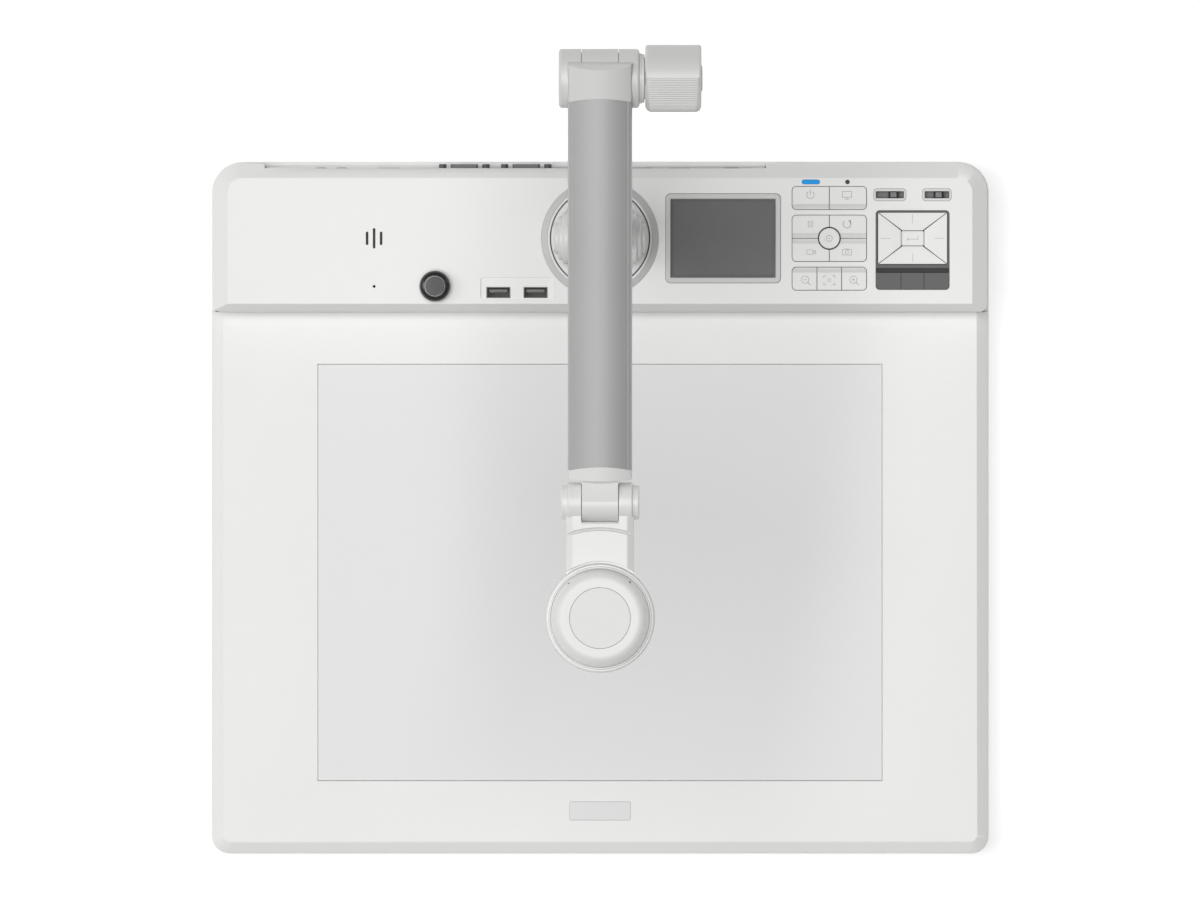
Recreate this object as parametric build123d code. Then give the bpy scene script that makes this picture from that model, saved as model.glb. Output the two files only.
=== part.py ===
from build123d import *
import math
import os

# Desktop document camera: a flat case with a back-lit stage and a raised control deck,
# and a jointed arm that holds a camera head over the stage. Millimetres.
# +X right, +Y to the rear, +Z up. The origin is on the table, under the middle of the
# whole object's plan. Front is -Y.

# ---- Case ----
case_width = 450.0
case_depth = 400.7
rear_corner_radius = 18.0
front_corner_radius = 10.3
wall = 2.6                 # moulded wall of tray and covers
foot_height = 3.0
foot_radius = 9.0
foot_inset = 34.0
tray_height = 21.0         # from the tray's underside to the split line
tray_bottom_radius = 3.0
stage_rise = 14.0          # stage top above the split line
deck_rise = 36.0           # deck top above the split line
deck_depth = 87.1          # deck front line to the rear edge of the case
stage_step = 0.3           # the stage cover's wall stands this far inside the tray's
deck_step = 1.0            # and the deck cover's wall this far
stage_edge_radius = 6.8
deck_edge_radius = 8.5
deck_front_radius = 4.4
joint_gap = 0.3            # moulding gap between neighbouring pieces
seat_lip = 1.5             # flange that holds an insert from under the deck
seat_thickness = 1.2
vent_count = 12            # slots in the tray's floor, under the backlight
vent_pitch = 16.0
vent_width = 2.4
vent_length = 44.0

# ---- Stage ----
panel_width = 326.4
panel_depth = 240.8
panel_thickness = 3.0
panel_front_margin = 42.4  # case front edge to the panel
panel_ledge = 4.0
backlight_thickness = 5.0
plate_width = 35.4
plate_depth = 10.7
plate_thickness = 1.0
plate_front_margin = 19.4
plate_radius = 1.2

# ---- Turret and shoulder ----
turret_setback = 44.6      # rear edge of the case to the turret axis
ring_radius = 34.0
ring_bore_radius = 28.9
ring_height = 1.2          # ring top above the deck
ring_rebate = 1.2          # ring's flange let into the deck
ring_seat = 2.0            # width of the deck's seat under the flange
turret_radius = 28.5
spindle_radius = 10.0
bearing_radius = 25.0
running_gap = 0.05         # shaft in bore, radial
turret_thickness = 8.0
shoulder_height = 13.8     # shoulder axis above the turret disc's face
shoulder_radius = 15.0
shoulder_half_width = 21.5
shoulder_disc_radius = 12.6
shoulder_disc_length = 2.6
shoulder_cap_radius = 9.0

# ---- Arm ----
arm_width = 36.6
arm_section_height = 23.0
arm_crown = 5.5
arm_edge_radius = 2.4
tube_wall = 2.2
centre_knuckle_half = 10.35
knuckle_gap = 0.35
pin_radius = 4.0
pin_bevel = 0.8
lower_arm_length = 354.0
lower_arm_lean = 14.5      # degrees back from upright
elbow_radius = 16.8
elbow_left = 23.5
elbow_right = 22.4
elbow_collar_radius = 14.3
elbow_collar_length = 2.8
knob_radius = 19.1
knob_length = 31.9
knob_gap = 0.5
knob_button_radius = 7.3
knob_button_length = 0.6
knob_flutes = 44           # fine grip flutes round the knob's front half
knob_edge_radius = 1.6
knob_floor = 6.0           # thickness of the knob beyond its bolt
flute_radius = 0.55
flute_margin = 3.0
forearm_length = 246.0     # elbow axis to wrist axis, along the forearm
forearm_pitch = 14.0       # degrees down toward the front
tube_rise = 1.0            # forearm tube's underside above the elbow axis
wrist_rise = 9.0           # wrist axis above the forearm's own elbow line
wrist_radius = 11.3
wrist_outer_radius = 10.9
wrist_half_width = 18.4
wrist_disc_radius = 9.8
wrist_disc_length = 4.0
saddle_gap = 0.45          # clearance of a cap over the knuckles it turns round

# ---- Neck and camera head ----
neck_width = 38.6
neck_top = 8.5             # above the wrist axis
neck_bottom = 10.5         # below the wrist axis
neck_edge_radius = 4.0
head_reach = 65.8          # wrist axis to the head's axis
collar_radius = 31.3
collar_below = 16.0
head_rim_radius = 29.2
head_plateau_radius = 21.0
head_rise = 9.0            # plateau above the neck's top
head_below = 27.0          # head's lower edge below the wrist axis
head_disc_radius = 17.3
head_disc_thickness = 1.2
lens_radius = 15.0
lens_below = 31.0
lens_glass_radius = 10.0

# ---- Screen ----
screen_x = 71.2
bezel_width = 66.6
bezel_depth = 51.8
bezel_radius = 3.0
bezel_proud = 0.6
bezel_slope = 1.7          # width of the slope from the rim down to the screen
screen_width = 59.7
screen_depth = 44.4
screen_sink = 1.2
screen_thickness = 2.4

# ---- Keys ----
key_group_x = 132.6
key_group_width = 42.8
outer_group_depth = 13.1
middle_group_depth = 26.6
group_offset = 23.35
key_corner_radius = 2.3
key_proud = 0.7
key_gap = 0.3
key_plate = 3.6
key_stem_radius = 2.2
key_travel = 0.8
menu_radius = 5.96
menu_hole_radius = 6.65
switch_height = 2.5        # dome switch on the key board
switch_width = 5.2
board_thickness = 1.6
board_post_radius = 2.5
key_board_drop = 8.5       # deck top to the key board's top face

# ---- Navigation cluster ----
nav_x = 180.75
nav_width = 42.5
nav_rear = 16.1            # from the turret's centre line
nav_front = -29.7
pad_width = 39.9
pad_depth = 29.7
pad_radius = 1.4
enter_width = 12.9
enter_depth = 8.5
soft_key_depth = 9.0
soft_key_front = -28.9

# ---- Slide switches ----
slide_row = 25.2
slide_left_x = 167.65
slide_left_width = 18.7
slide_right_x = 194.85
slide_right_width = 16.7
slide_depth = 7.0
slide_bezel_radius = 2.2
slot_margin = 1.25
slot_depth = 4.0
slider_width = 5.8
slider_shoe_depth = 5.6    # foot that holds a slider under its surround
slider_left_offset = 2.05
slider_right_offset = 0.9

# ---- Small deck fittings ----
led_x = 121.9
led_length = 10.4
led_width = 2.5
remote_x = 143.1
remote_radius = 1.2
indicator_row = 32.6
speaker_x = -130.6
speaker_radius = 14.0
speaker_depth = 8.0
speaker_rim = 2.0
sound_slot_width = 1.45
sound_slot_pitch = 4.05
sound_slots = ((-1, 7.7), (0, 11.7), (1, 7.7))   # place and length of each slot
mic_row = -27.8
mic_radius = 0.8
rest_x = -95.4
rest_row = -27.7
rest_radius = 9.0
rest_top_radius = 5.4
rest_height = 9.0
rest_stem_radius = 4.0
usb_x = -48.0
usb_pitch = 21.5
usb_row = -31.35
usb_width = 13.6
usb_depth = 6.1
usb_recess_width = 42.0
usb_recess_depth = 12.7
usb_recess_row = -29.15
usb_recess_sink = 0.8
usb_recess_radius = 1.6
usb_height = 14.0

# ---- Rear and side sockets ----
rear_zone_left = -194.0
rear_zone_right = 96.0
rear_zone_sink = 3.0
main_board_lift = 6.0      # board underside above the split line
chip_width = 18.0
chip_height = 1.8
video_xs = (-78.5, -42.7)
video_width = 16.3
video_height = 8.3
video_flange_width = 31.0
jackscrew_pitch = 25.0
jackscrew_radius = 2.5
jackscrew_hole_radius = 1.2
socket_depth = 12.0        # behind the wall's inner face
socket_proud = 2.5
card_row = -24.35
card_width = 24.3
card_height = 2.8
lock_row = -1.5
lock_length = 7.0
lock_height = 3.2
lock_rise = 12.0           # lock slot above the split line
screw_radius = 1.5
screw_head_radius = 2.8
screw_head_height = 2.4
screw_recess = 4.0         # head's top face above the tray's underside
screw_reach = 8.0          # thread above the split line
screw_hole_depth = 12.0
boss_radius = 4.2
boss_wall = 0.6            # the tray's bosses are this much wider than the covers'

# ---- Places worked out from the sizes above ----
lean = math.radians(lower_arm_lean)
pitch = math.radians(forearm_pitch)
elbow_reach = lower_arm_length * math.sin(lean)
overhang = elbow_reach + knob_radius - turret_setback
front_y = -(case_depth + overhang) / 2
rear_y = front_y + case_depth
turret_y = rear_y - turret_setback
deck_front_y = rear_y - deck_depth
split_z = foot_height + tray_height
floor_z = foot_height + wall
stage_z = split_z + stage_rise
deck_z = split_z + deck_rise
under_deck_z = deck_z - wall
stage_plate_z = stage_z - panel_thickness - wall
panel_y = front_y + panel_front_margin + panel_depth / 2
plate_y = front_y + plate_front_margin + plate_depth / 2
shoulder_z = deck_z + ring_height + shoulder_height
elbow_y = turret_y + elbow_reach
elbow_z = shoulder_z + lower_arm_length * math.cos(lean)
wrist_y = elbow_y - forearm_length * math.cos(pitch) - wrist_rise * math.sin(pitch)
wrist_z = elbow_z - forearm_length * math.sin(pitch) + wrist_rise * math.cos(pitch)
head_y = wrist_y - head_reach
board_top_z = deck_z - key_board_drop
main_board_z = split_z + main_board_lift
rear_wall_y = rear_y - deck_step
rear_zone_y = rear_wall_y - rear_zone_sink
low = (Align.CENTER, Align.CENTER, Align.MIN)

os.makedirs("parts", exist_ok=True)


def save(name, *solids):
    """Write one piece, or one group of like pieces, as a STEP file."""
    shape = solids[0] if len(solids) == 1 else Compound(list(solids))
    export_step(shape, f"parts/{name}.step")


def block(x0, x1, y0, y1, z0, z1):
    """A box between these limits."""
    return Pos((x0 + x1) / 2, (y0 + y1) / 2, (z0 + z1) / 2) * Box(x1 - x0, y1 - y0, z1 - z0)


def post(x, y, radius, z0, z1):
    """An upright cylinder."""
    return Pos(x, y, z0) * Cylinder(radius, z1 - z0, align=low)


def prism(sketch, z0, z1):
    """A flat outline raised from z0 to z1."""
    return extrude(Pos(0, 0, z0) * sketch, z1 - z0)


def bar(radius, x0, x1):
    """A round bar along X through the origin's height and depth."""
    return Pos((x0 + x1) / 2, 0, 0) * Rot(0, 90, 0) * Cylinder(radius, x1 - x0)


def plate(x, y, width, depth, radius):
    """A flat outline with rounded corners, centred at x, y."""
    return Pos(x, y) * RectangleRounded(width, depth, radius)


def case_outline(step, y_front, y_rear, front_radius, rear_radius):
    """The case's plan, with its own radii at the front and rear corners (0 for square)."""
    shape = Pos(0, (y_front + y_rear) / 2) * Rectangle(case_width - 2 * step, y_rear - y_front)
    corners = shape.vertices().sort_by(Axis.Y)
    if front_radius > 0:
        shape = fillet(corners[:2], front_radius)
    if rear_radius > 0:
        shape = fillet(shape.vertices().sort_by(Axis.Y)[-2:], rear_radius)
    return shape


# ---- Case: lower tray, screws and feet ----
side_screw_x = case_width / 2 - 13.0
deck_screw_ys = (rear_y - 21.0, turret_y + 3.0)
stage_screw_ys = (front_y + 18.0, (front_y + deck_front_y) / 2)
screw_spots = [(s * side_screw_x, y) for s in (-1, 1) for y in deck_screw_ys + stage_screw_ys]
board_posts = [(x, turret_y + dy) for x in (-150.0, -60.0, 60.0) for dy in (-22.0, 22.0)]


def tray_form(inset):
    """The tray's solid form, inset for its inside."""
    outline = case_outline(inset, front_y + inset, rear_y - inset,
                           front_corner_radius - inset, rear_corner_radius - inset)
    return prism(outline, foot_height + inset, split_z if inset == 0 else split_z + 1)


def base_tray():
    body = tray_form(0)
    body = fillet(body.faces().sort_by(Axis.Z)[0].edges(), tray_bottom_radius)
    body -= tray_form(wall)
    for x, y in screw_spots:
        body += post(x, y, boss_radius + boss_wall, floor_z - 0.5, split_z)
    for x, y in board_posts:
        body += post(x, y, 3.0, floor_z - 0.5, main_board_z)
    for x, y in screw_spots:
        body -= post(x, y, screw_radius + 0.2, foot_height - 1, split_z + 1)
        body -= post(x, y, screw_head_radius + 0.2, foot_height - 1, foot_height + screw_recess)
    for i in range(vent_count):
        vent_x = (i - (vent_count - 1) / 2) * vent_pitch
        body -= block(vent_x - vent_width / 2, vent_x + vent_width / 2, panel_y - vent_length / 2,
                      panel_y + vent_length / 2, foot_height - 1, floor_z + 1)
    return body


def case_screw(x, y):
    seat_z = foot_height + screw_recess
    shank = post(x, y, screw_radius, seat_z, split_z + screw_reach)
    return shank + post(x, y, screw_head_radius, seat_z - screw_head_height, seat_z)


save("base_tray", base_tray())
save("case_screws", *[case_screw(x, y) for x, y in screw_spots])
foot_x = case_width / 2 - foot_inset
foot_ys = (front_y + foot_inset, rear_y - foot_inset)
feet = []
for foot_y in foot_ys:
    for side in (-1, 1):
        foot = post(side * foot_x, foot_y, foot_radius, 0, foot_height)
        feet.append(chamfer(foot.edges().sort_by(Axis.Z)[0], 0.6))
save("rubber_feet", *feet)


# ---- Stage: cover, working panel, backlight and name plate ----
def stage_form(inset):
    """The stage cover's solid form, inset for its inside."""
    outline = case_outline(stage_step + inset, front_y + stage_step + inset, deck_front_y,
                           front_corner_radius - inset, 0)
    top_z = stage_z if inset == 0 else stage_plate_z
    return prism(outline, split_z if inset == 0 else split_z - 1, top_z)


def stage_cover():
    body = stage_form(0)
    rim = [e for e in body.faces().sort_by(Axis.Z)[-1].edges() if e.center().Y < deck_front_y - 1]
    body = fillet(rim, stage_edge_radius)
    body -= stage_form(wall)
    for x, y in screw_spots:
        if y < deck_front_y:
            body += post(x, y, boss_radius, split_z, stage_plate_z + 0.5)
            body -= post(x, y, screw_radius + running_gap, split_z - 1, stage_plate_z - 0.3)
    recess = Pos(0, panel_y) * Rectangle(panel_width + 2 * joint_gap, panel_depth + 2 * joint_gap)
    window = Pos(0, panel_y) * Rectangle(panel_width - 2 * panel_ledge, panel_depth - 2 * panel_ledge)
    body -= prism(recess, stage_z - panel_thickness, stage_z + 1)
    body -= prism(window, stage_plate_z - 1, stage_z)
    seat = plate(0, plate_y, plate_width + 2 * running_gap, plate_depth + 2 * running_gap, plate_radius)
    body -= prism(seat, stage_z - plate_thickness, stage_z + 1)
    return body


save("stage_cover", stage_cover())
save("stage_panel", block(-panel_width / 2, panel_width / 2, panel_y - panel_depth / 2,
                          panel_y + panel_depth / 2, stage_z - panel_thickness, stage_z - 0.2))
save("backlight_panel", block(-panel_width / 2, panel_width / 2, panel_y - panel_depth / 2,
                              panel_y + panel_depth / 2, stage_plate_z - backlight_thickness, stage_plate_z))
name_plate = plate(0, plate_y, plate_width, plate_depth, plate_radius)
save("name_plate", prism(name_plate, stage_z - plate_thickness, stage_z + 0.2))


# ---- Deck: places of keys, frames and fittings, from the turret's centre line ----
group_rows = (group_offset, 0.0, -group_offset)
group_depths = (outer_group_depth, middle_group_depth, outer_group_depth)
nav_y = turret_y + (nav_rear + nav_front) / 2
nav_depth = nav_rear - nav_front
slide_y = turret_y + slide_row
soft_key_y = turret_y + soft_key_front + soft_key_depth / 2
usb_xs = (usb_x - usb_pitch / 2, usb_x + usb_pitch / 2)
usb_y = turret_y + usb_row
usb_top_z = deck_z - usb_recess_sink - 0.2


def deck_form(inset):
    """The deck cover's solid form, inset for its inside."""
    step = deck_step + inset
    outline = case_outline(step, deck_front_y + inset, rear_wall_y - inset,
                           0, rear_corner_radius - deck_step - inset)
    bottom_z = split_z if inset == 0 else split_z - 1
    body = prism(outline, bottom_z, deck_z - inset)
    front_line_y = deck_front_y + inset
    rims = body.faces().sort_by(Axis.Z)[-1].edges()
    body = fillet([e for e in rims if e.center().Y > front_line_y + 1], deck_edge_radius - inset)
    across = body.edges().filter_by(Axis.X)
    front_rims = [e for e in across
                  if abs(e.center().Y - front_line_y) < 0.01 and abs(e.center().Z - deck_z + inset) < 0.01]
    body = fillet(front_rims, max(deck_front_radius - inset, 1.0))
    return body - block(rear_zone_left - inset, rear_zone_right + inset, rear_zone_y - inset, rear_y + 1,
                        split_z - 2, deck_z + 1)


# Sockets in the rear wall: place along X, width and height, then the hollow's width and height.
rear_ports = {
    "audio_out": (-161.5, 7.0, 7.0, 3.6, 3.6),
    "audio_in": (-149.5, 7.0, 7.0, 3.6, 3.6),
    "serial": (-122.0, 13.0, 9.0, 10.0, 6.0),
    "digital_video": (-4.0, 15.0, 5.6, 13.6, 4.2),
    "network": (22.0, 16.0, 13.4, 11.8, 8.0),
    "usb_device": (46.0, 12.0, 10.8, 8.6, 7.6),
    "power": (76.0, 9.6, 10.6, 6.4, 6.4),
}


def key_outline(row, depth, grow):
    radius = key_corner_radius + grow
    return plate(key_group_x, turret_y + row, key_group_width + 2 * grow, depth + 2 * grow, radius)


key_board_left = key_group_x - key_group_width / 2 - 4
key_board_right = nav_x + nav_width / 2 + 1.5
key_board_posts = [(x, turret_y + dy) for x in (key_board_left + 2.6, 156.75) for dy in (-34.0, 35.0)]
usb_board_posts = [(usb_x + s * 24.5, turret_y + usb_row) for s in (-1, 1)]
slide_places = ((slide_left_x, slide_left_width), (slide_right_x, slide_right_width))
board_top = main_board_z + board_thickness


def through_deck(outline):
    """A hole of this outline through the deck's top."""
    return prism(outline, under_deck_z - 1, deck_z + 1)


def wall_hole(x, half_width, height):
    """A hole through the rear wall for a socket that stands on the main board."""
    return block(x - half_width - 0.2, x + half_width + 0.2, rear_zone_y - wall - 1, rear_zone_y + 1,
                 board_top - 0.2, board_top + height + 0.2)


def deck_cover():
    body = deck_form(0) - deck_form(wall)
    for x, y in screw_spots:
        if y > deck_front_y:
            body += post(x, y, boss_radius, split_z, under_deck_z + 0.5)
            body -= post(x, y, screw_radius + running_gap, split_z - 1, split_z + screw_hole_depth)
    for x, y in key_board_posts:
        body += post(x, y, board_post_radius, board_top_z, under_deck_z + 0.5)
    for x, y in usb_board_posts:
        body += post(x, y, board_post_radius, usb_top_z - usb_height, under_deck_z + 0.5)
    cuts = [post(0, turret_y, ring_radius - ring_seat, split_z, deck_z + 1)]
    cuts.append(post(0, turret_y, ring_radius + running_gap, deck_z - ring_rebate, deck_z + 1))
    for row, depth in zip(group_rows, group_depths):
        cuts.append(through_deck(key_outline(row, depth, key_gap)))
    cuts.append(through_deck(plate(screen_x, turret_y, bezel_width + 0.2, bezel_depth + 0.2, bezel_radius)))
    cuts.append(through_deck(plate(nav_x, nav_y, nav_width + 0.2, nav_depth + 0.2, key_corner_radius)))
    for x, width in slide_places:
        cuts.append(through_deck(plate(x, slide_y, width + 0.2, slide_depth + 0.2, slide_bezel_radius)))
    led = Pos(led_x, turret_y + indicator_row) * SlotOverall(led_length + 0.2, led_width + 0.2)
    cuts.append(through_deck(led))
    cuts.append(post(remote_x, turret_y + indicator_row, remote_radius + 0.1, under_deck_z - 1, deck_z + 1))
    for i, length in sound_slots:
        slot = Rot(0, 0, 90) * SlotOverall(length, sound_slot_width)
        cuts.append(through_deck(Pos(speaker_x + i * sound_slot_pitch, turret_y) * slot))
    cuts.append(post(speaker_x, turret_y + mic_row, mic_radius, under_deck_z - 1, deck_z + 1))
    cuts.append(post(rest_x, turret_y + rest_row, rest_stem_radius + 0.1, under_deck_z - 1, deck_z + 1))
    recess = plate(usb_x, turret_y + usb_recess_row, usb_recess_width, usb_recess_depth, usb_recess_radius)
    cuts.append(prism(recess, deck_z - usb_recess_sink, deck_z + 1))
    for x in usb_xs:
        cuts.append(through_deck(Pos(x, usb_y) * Rectangle(usb_width + 0.2, usb_depth + 0.2)))
    for x, width, height, _, _ in rear_ports.values():
        cuts.append(wall_hole(x, width / 2, height))
    for x in video_xs:
        cuts.append(wall_hole(x, video_flange_width / 2, video_height + 4.0))
    card_y = turret_y + card_row
    card_z = board_top + 0.8
    cuts.append(block(-case_width / 2 - 1, -case_width / 2 + deck_step + wall + 1, card_y - card_width / 2,
                      card_y + card_width / 2, card_z - 0.2, card_z + card_height + 0.2))
    lock_y = turret_y + lock_row
    lock_z = split_z + lock_rise
    cuts.append(block(case_width / 2 - deck_step - wall - 1, case_width / 2 + 1, lock_y - lock_length / 2,
                      lock_y + lock_length / 2, lock_z, lock_z + lock_height))
    return body - cuts


save("deck_cover", deck_cover())


# ---- Deck inserts, each held by a flange under the deck ----
def insert(outline, flange, top_z):
    return prism(outline, under_deck_z, top_z) + prism(flange, under_deck_z - seat_thickness, under_deck_z)


def screen_bezel():
    rim = plate(screen_x, turret_y, bezel_width, bezel_depth, bezel_radius)
    flange = plate(screen_x, turret_y, bezel_width + 2 * seat_lip, bezel_depth + 2 * seat_lip, bezel_radius)
    body = insert(rim, flange, deck_z + bezel_proud)
    opening = Pos(screen_x, turret_y) * Rectangle(screen_width, screen_depth)
    body -= prism(opening, under_deck_z - 2, deck_z + 2)
    lower = Pos(screen_x, turret_y, deck_z - screen_sink) * Rectangle(screen_width, screen_depth)
    mouth = Rectangle(screen_width + 2 * bezel_slope, screen_depth + 2 * bezel_slope)
    upper = Pos(screen_x, turret_y, deck_z + bezel_proud + 0.01) * mouth
    return body - loft([lower.face(), upper.face()])


def navigation_frame():
    rim = plate(nav_x, nav_y, nav_width, nav_depth, key_corner_radius)
    flange = plate(nav_x, nav_y, nav_width + 2 * seat_lip, nav_depth + 2 * seat_lip, key_corner_radius)
    body = insert(rim, flange, deck_z + 0.2)
    pad = plate(nav_x, turret_y, pad_width + 2 * key_gap, pad_depth + 2 * key_gap, pad_radius)
    keys = plate(nav_x, soft_key_y, pad_width + 2 * key_gap, soft_key_depth + 2 * key_gap, pad_radius)
    return body - [prism(pad, under_deck_z - 2, deck_z + 1), prism(keys, under_deck_z - 2, deck_z + 1)]


def slide_bezel(x, width):
    rim = plate(x, slide_y, width, slide_depth, slide_bezel_radius)
    flange = plate(x, slide_y, width + 2.0, slide_depth + 2.0, slide_bezel_radius)
    body = insert(rim, flange, deck_z + 0.2)
    slot = plate(x, slide_y, width - 2 * slot_margin, slot_depth, 0.3)
    return body - prism(slot, under_deck_z - 2, deck_z + 1)


def indicator_lens(x, shape, lip):
    place = Pos(x, turret_y + indicator_row)
    return insert(place * shape, place * lip, deck_z + 0.1)


save("screen_bezel", screen_bezel())
screen_top_z = under_deck_z - seat_thickness
screen_outline = Pos(screen_x, turret_y) * Rectangle(screen_width + 5.0, screen_depth + 5.0)
save("screen", prism(screen_outline, screen_top_z - screen_thickness, screen_top_z))
save("navigation_frame", navigation_frame())
save("slide_bezels", *[slide_bezel(x, width) for x, width in slide_places])
save("indicator_lenses",
     indicator_lens(led_x, SlotOverall(led_length, led_width), SlotOverall(led_length + 2, led_width)),
     indicator_lens(remote_x, Circle(remote_radius), SlotOverall(4 * remote_radius, 2 * remote_radius)))

speaker = post(speaker_x, turret_y, speaker_radius, under_deck_z - speaker_depth, under_deck_z)
speaker -= post(speaker_x, turret_y, speaker_radius - speaker_rim,
                under_deck_z - speaker_rim, under_deck_z + 1)
save("speaker", speaker)

rest = post(rest_x, turret_y + rest_row, rest_radius, deck_z, deck_z + rest_height)
rest = fillet(rest.edges().sort_by(Axis.Z)[-1], rest_radius - rest_top_radius)
rest += post(rest_x, turret_y + rest_row, rest_stem_radius, under_deck_z - 1.5, deck_z)
save("arm_rest", rest)


# ---- Keys: a cap in the deck's opening, a lip behind it and a stem to its dome switch ----
key_top_z = deck_z + key_proud
key_low_z = key_top_z - key_plate
stem_low_z = board_top_z + switch_height + key_travel + 0.1
key_spots = []


def key(name, outline, lip, spot):
    """One key. The lip holds it under the deck, and the stem presses its switch at spot."""
    cap = prism(outline, key_low_z, key_top_z)
    cap = chamfer(cap.faces().sort_by(Axis.Z)[-1].edges(), 0.25)
    cap += prism(lip, under_deck_z - 1.1, under_deck_z - 0.1)
    cap += post(spot[0], spot[1], key_stem_radius, stem_low_z, key_low_z)
    key_spots.append(spot)
    save(name, cap)


def key_cell(x0, x1, y0, y1):
    """The share of a key group between these lines, less half a gap on each side."""
    gap = key_gap / 2
    return Pos((x0 + x1) / 2, (y0 + y1) / 2) * Rectangle(x1 - x0 - 2 * gap, y1 - y0 - 2 * gap)


def group_keys(names, row, depth, columns, rows, hole):
    """The keys of one group, cut from the group's rounded outline by lines between them."""
    centre_y = turret_y + row
    half_width = key_group_width / 2
    lines_x = [key_group_x - half_width + key_group_width * i / columns for i in range(columns + 1)]
    lines_y = [centre_y + depth / 2 - depth * i / rows for i in range(rows + 1)]
    lines_x[0] -= 5
    lines_x[-1] += 5
    lines_y[0] += 5
    lines_y[-1] -= 5
    for index, name in enumerate(names):
        i = index % columns
        j = index // columns
        cell = key_cell(lines_x[i], lines_x[i + 1], lines_y[j + 1], lines_y[j])
        outline = key_outline(row, depth, 0) & cell
        lip = key_outline(row, depth, 1.1) & cell
        if hole:
            gap_circle = Pos(key_group_x, centre_y) * Circle(menu_hole_radius)
            outline -= gap_circle
            lip -= gap_circle
        middle_x = key_group_x + (i - (columns - 1) / 2) * key_group_width / columns
        middle_y = centre_y - (j - (rows - 1) / 2) * depth / rows
        key(name, outline, lip, (middle_x, middle_y))


group_keys(["power_key", "source_key"], group_offset, outer_group_depth, 2, 1, False)
group_keys(["pause_key", "rotate_key", "record_key", "capture_key"], 0.0, middle_group_depth, 2, 2, True)
group_keys(["zoom_out_key", "focus_key", "zoom_in_key"], -group_offset, outer_group_depth, 3, 1, False)
menu_outline = Pos(key_group_x, turret_y) * Circle(menu_radius)
key("menu_key", menu_outline, menu_outline, (key_group_x, turret_y))

# The four direction keys share a rectangle, split from its corners to the enter key's.
for name, side_x, side_y in (("up_key", 0, 1), ("down_key", 0, -1), ("left_key", -1, 0), ("right_key", 1, 0)):
    outer_a = ((side_x - side_y) * pad_width / 2, (side_y + side_x) * pad_depth / 2)
    outer_b = ((side_x + side_y) * pad_width / 2, (side_y - side_x) * pad_depth / 2)
    share_x = (enter_width + 2 * key_gap) / pad_width
    share_y = (enter_depth + 2 * key_gap) / pad_depth
    inner_a = (outer_a[0] * share_x, outer_a[1] * share_y)
    inner_b = (outer_b[0] * share_x, outer_b[1] * share_y)
    wedge = make_face(Polyline(outer_a, outer_b, inner_b, inner_a, close=True))
    wedge = offset(wedge, -key_gap / 2, kind=Kind.INTERSECTION)
    wedge = Pos(nav_x, turret_y) * wedge
    reach_x = (pad_width + enter_width) / 4
    reach_y = (pad_depth + enter_depth) / 4
    key(name, wedge, wedge, (nav_x + side_x * reach_x, turret_y + side_y * reach_y))
enter_outline = plate(nav_x, turret_y, enter_width, enter_depth, 0.8)
key("enter_key", enter_outline, enter_outline, (nav_x, turret_y))
for i, name in enumerate(("left_soft_key", "middle_soft_key", "right_soft_key")):
    width = pad_width / 3 - key_gap
    soft_outline = plate(nav_x + (i - 1) * pad_width / 3, soft_key_y, width, soft_key_depth, 0.6)
    key(name, soft_outline, soft_outline, (nav_x + (i - 1) * pad_width / 3, soft_key_y))


# ---- Sliders of the two slide switches, with the boards that all the switches stand on ----
def slider(x):
    cap = Pos(x, slide_y) * Rectangle(slider_width, slot_depth - 0.4)
    cap = prism(cap, under_deck_z - 1.4, deck_z + 0.5)
    cap = chamfer(cap.edges().filter_by(Axis.Z), 0.3)
    shoe = Pos(x, slide_y) * Rectangle(slider_width, slider_shoe_depth)
    return cap + prism(shoe, under_deck_z - 2.4, under_deck_z - 1.4)


slider_left_x = slide_left_x + slider_left_offset
slider_right_x = slide_right_x + slider_right_offset
save("left_slider", slider(slider_left_x))
save("right_slider", slider(slider_right_x))


def circuit_boards():
    """The main board, the key board with its switches and the USB sockets' board."""
    main = block(rear_zone_left + 6, rear_zone_right + 2, turret_y - 34, rear_zone_y - wall - 1,
                 main_board_z, board_top)
    main += block(-case_width / 2 + deck_step + wall + 2, rear_zone_left + 7, turret_y - 38, turret_y - 8,
                  main_board_z, board_top)
    main -= post(0, turret_y, bearing_radius + 1, main_board_z - 1, main_board_z + 3)
    for x, y in ((-100, 10), (-128, -14), (52, 8), (80, -16)):
        chip = Pos(x, turret_y + y) * Rectangle(chip_width, chip_width)
        main += prism(chip, board_top, board_top + chip_height)
    keys = block(key_board_left, key_board_right, turret_y - 36.6, turret_y + 37.6,
                 board_top_z - board_thickness, board_top_z)
    for x, y in key_spots:
        switch = Pos(x, y) * Rectangle(switch_width, switch_width)
        keys += prism(switch, board_top_z, board_top_z + switch_height)
    for x, width in slide_places:
        switch = Pos(x, slide_y) * Rectangle(width, 5.0)
        keys += prism(switch, board_top_z, under_deck_z - 2.6)
    usb_low_z = usb_top_z - usb_height
    usb = block(usb_x - 28, usb_x + 28, usb_y - 5.2, usb_y + 11, usb_low_z - board_thickness, usb_low_z)
    return main, keys, usb


save("circuit_boards", *circuit_boards())


# ---- Sockets ----
def usb_socket(x):
    low_z = usb_top_z - usb_height
    place = Pos(x, usb_y)
    body = prism(place * Rectangle(usb_width, usb_depth), low_z, usb_top_z)
    body -= prism(place * Rectangle(usb_width - 1.0, usb_depth - 1.0), low_z + 2, usb_top_z + 1)
    tongue = Pos(x, usb_y + 1.0) * Rectangle(usb_width - 2.8, 1.8)
    return body + prism(tongue, low_z + 1, usb_top_z - 0.6)


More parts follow.
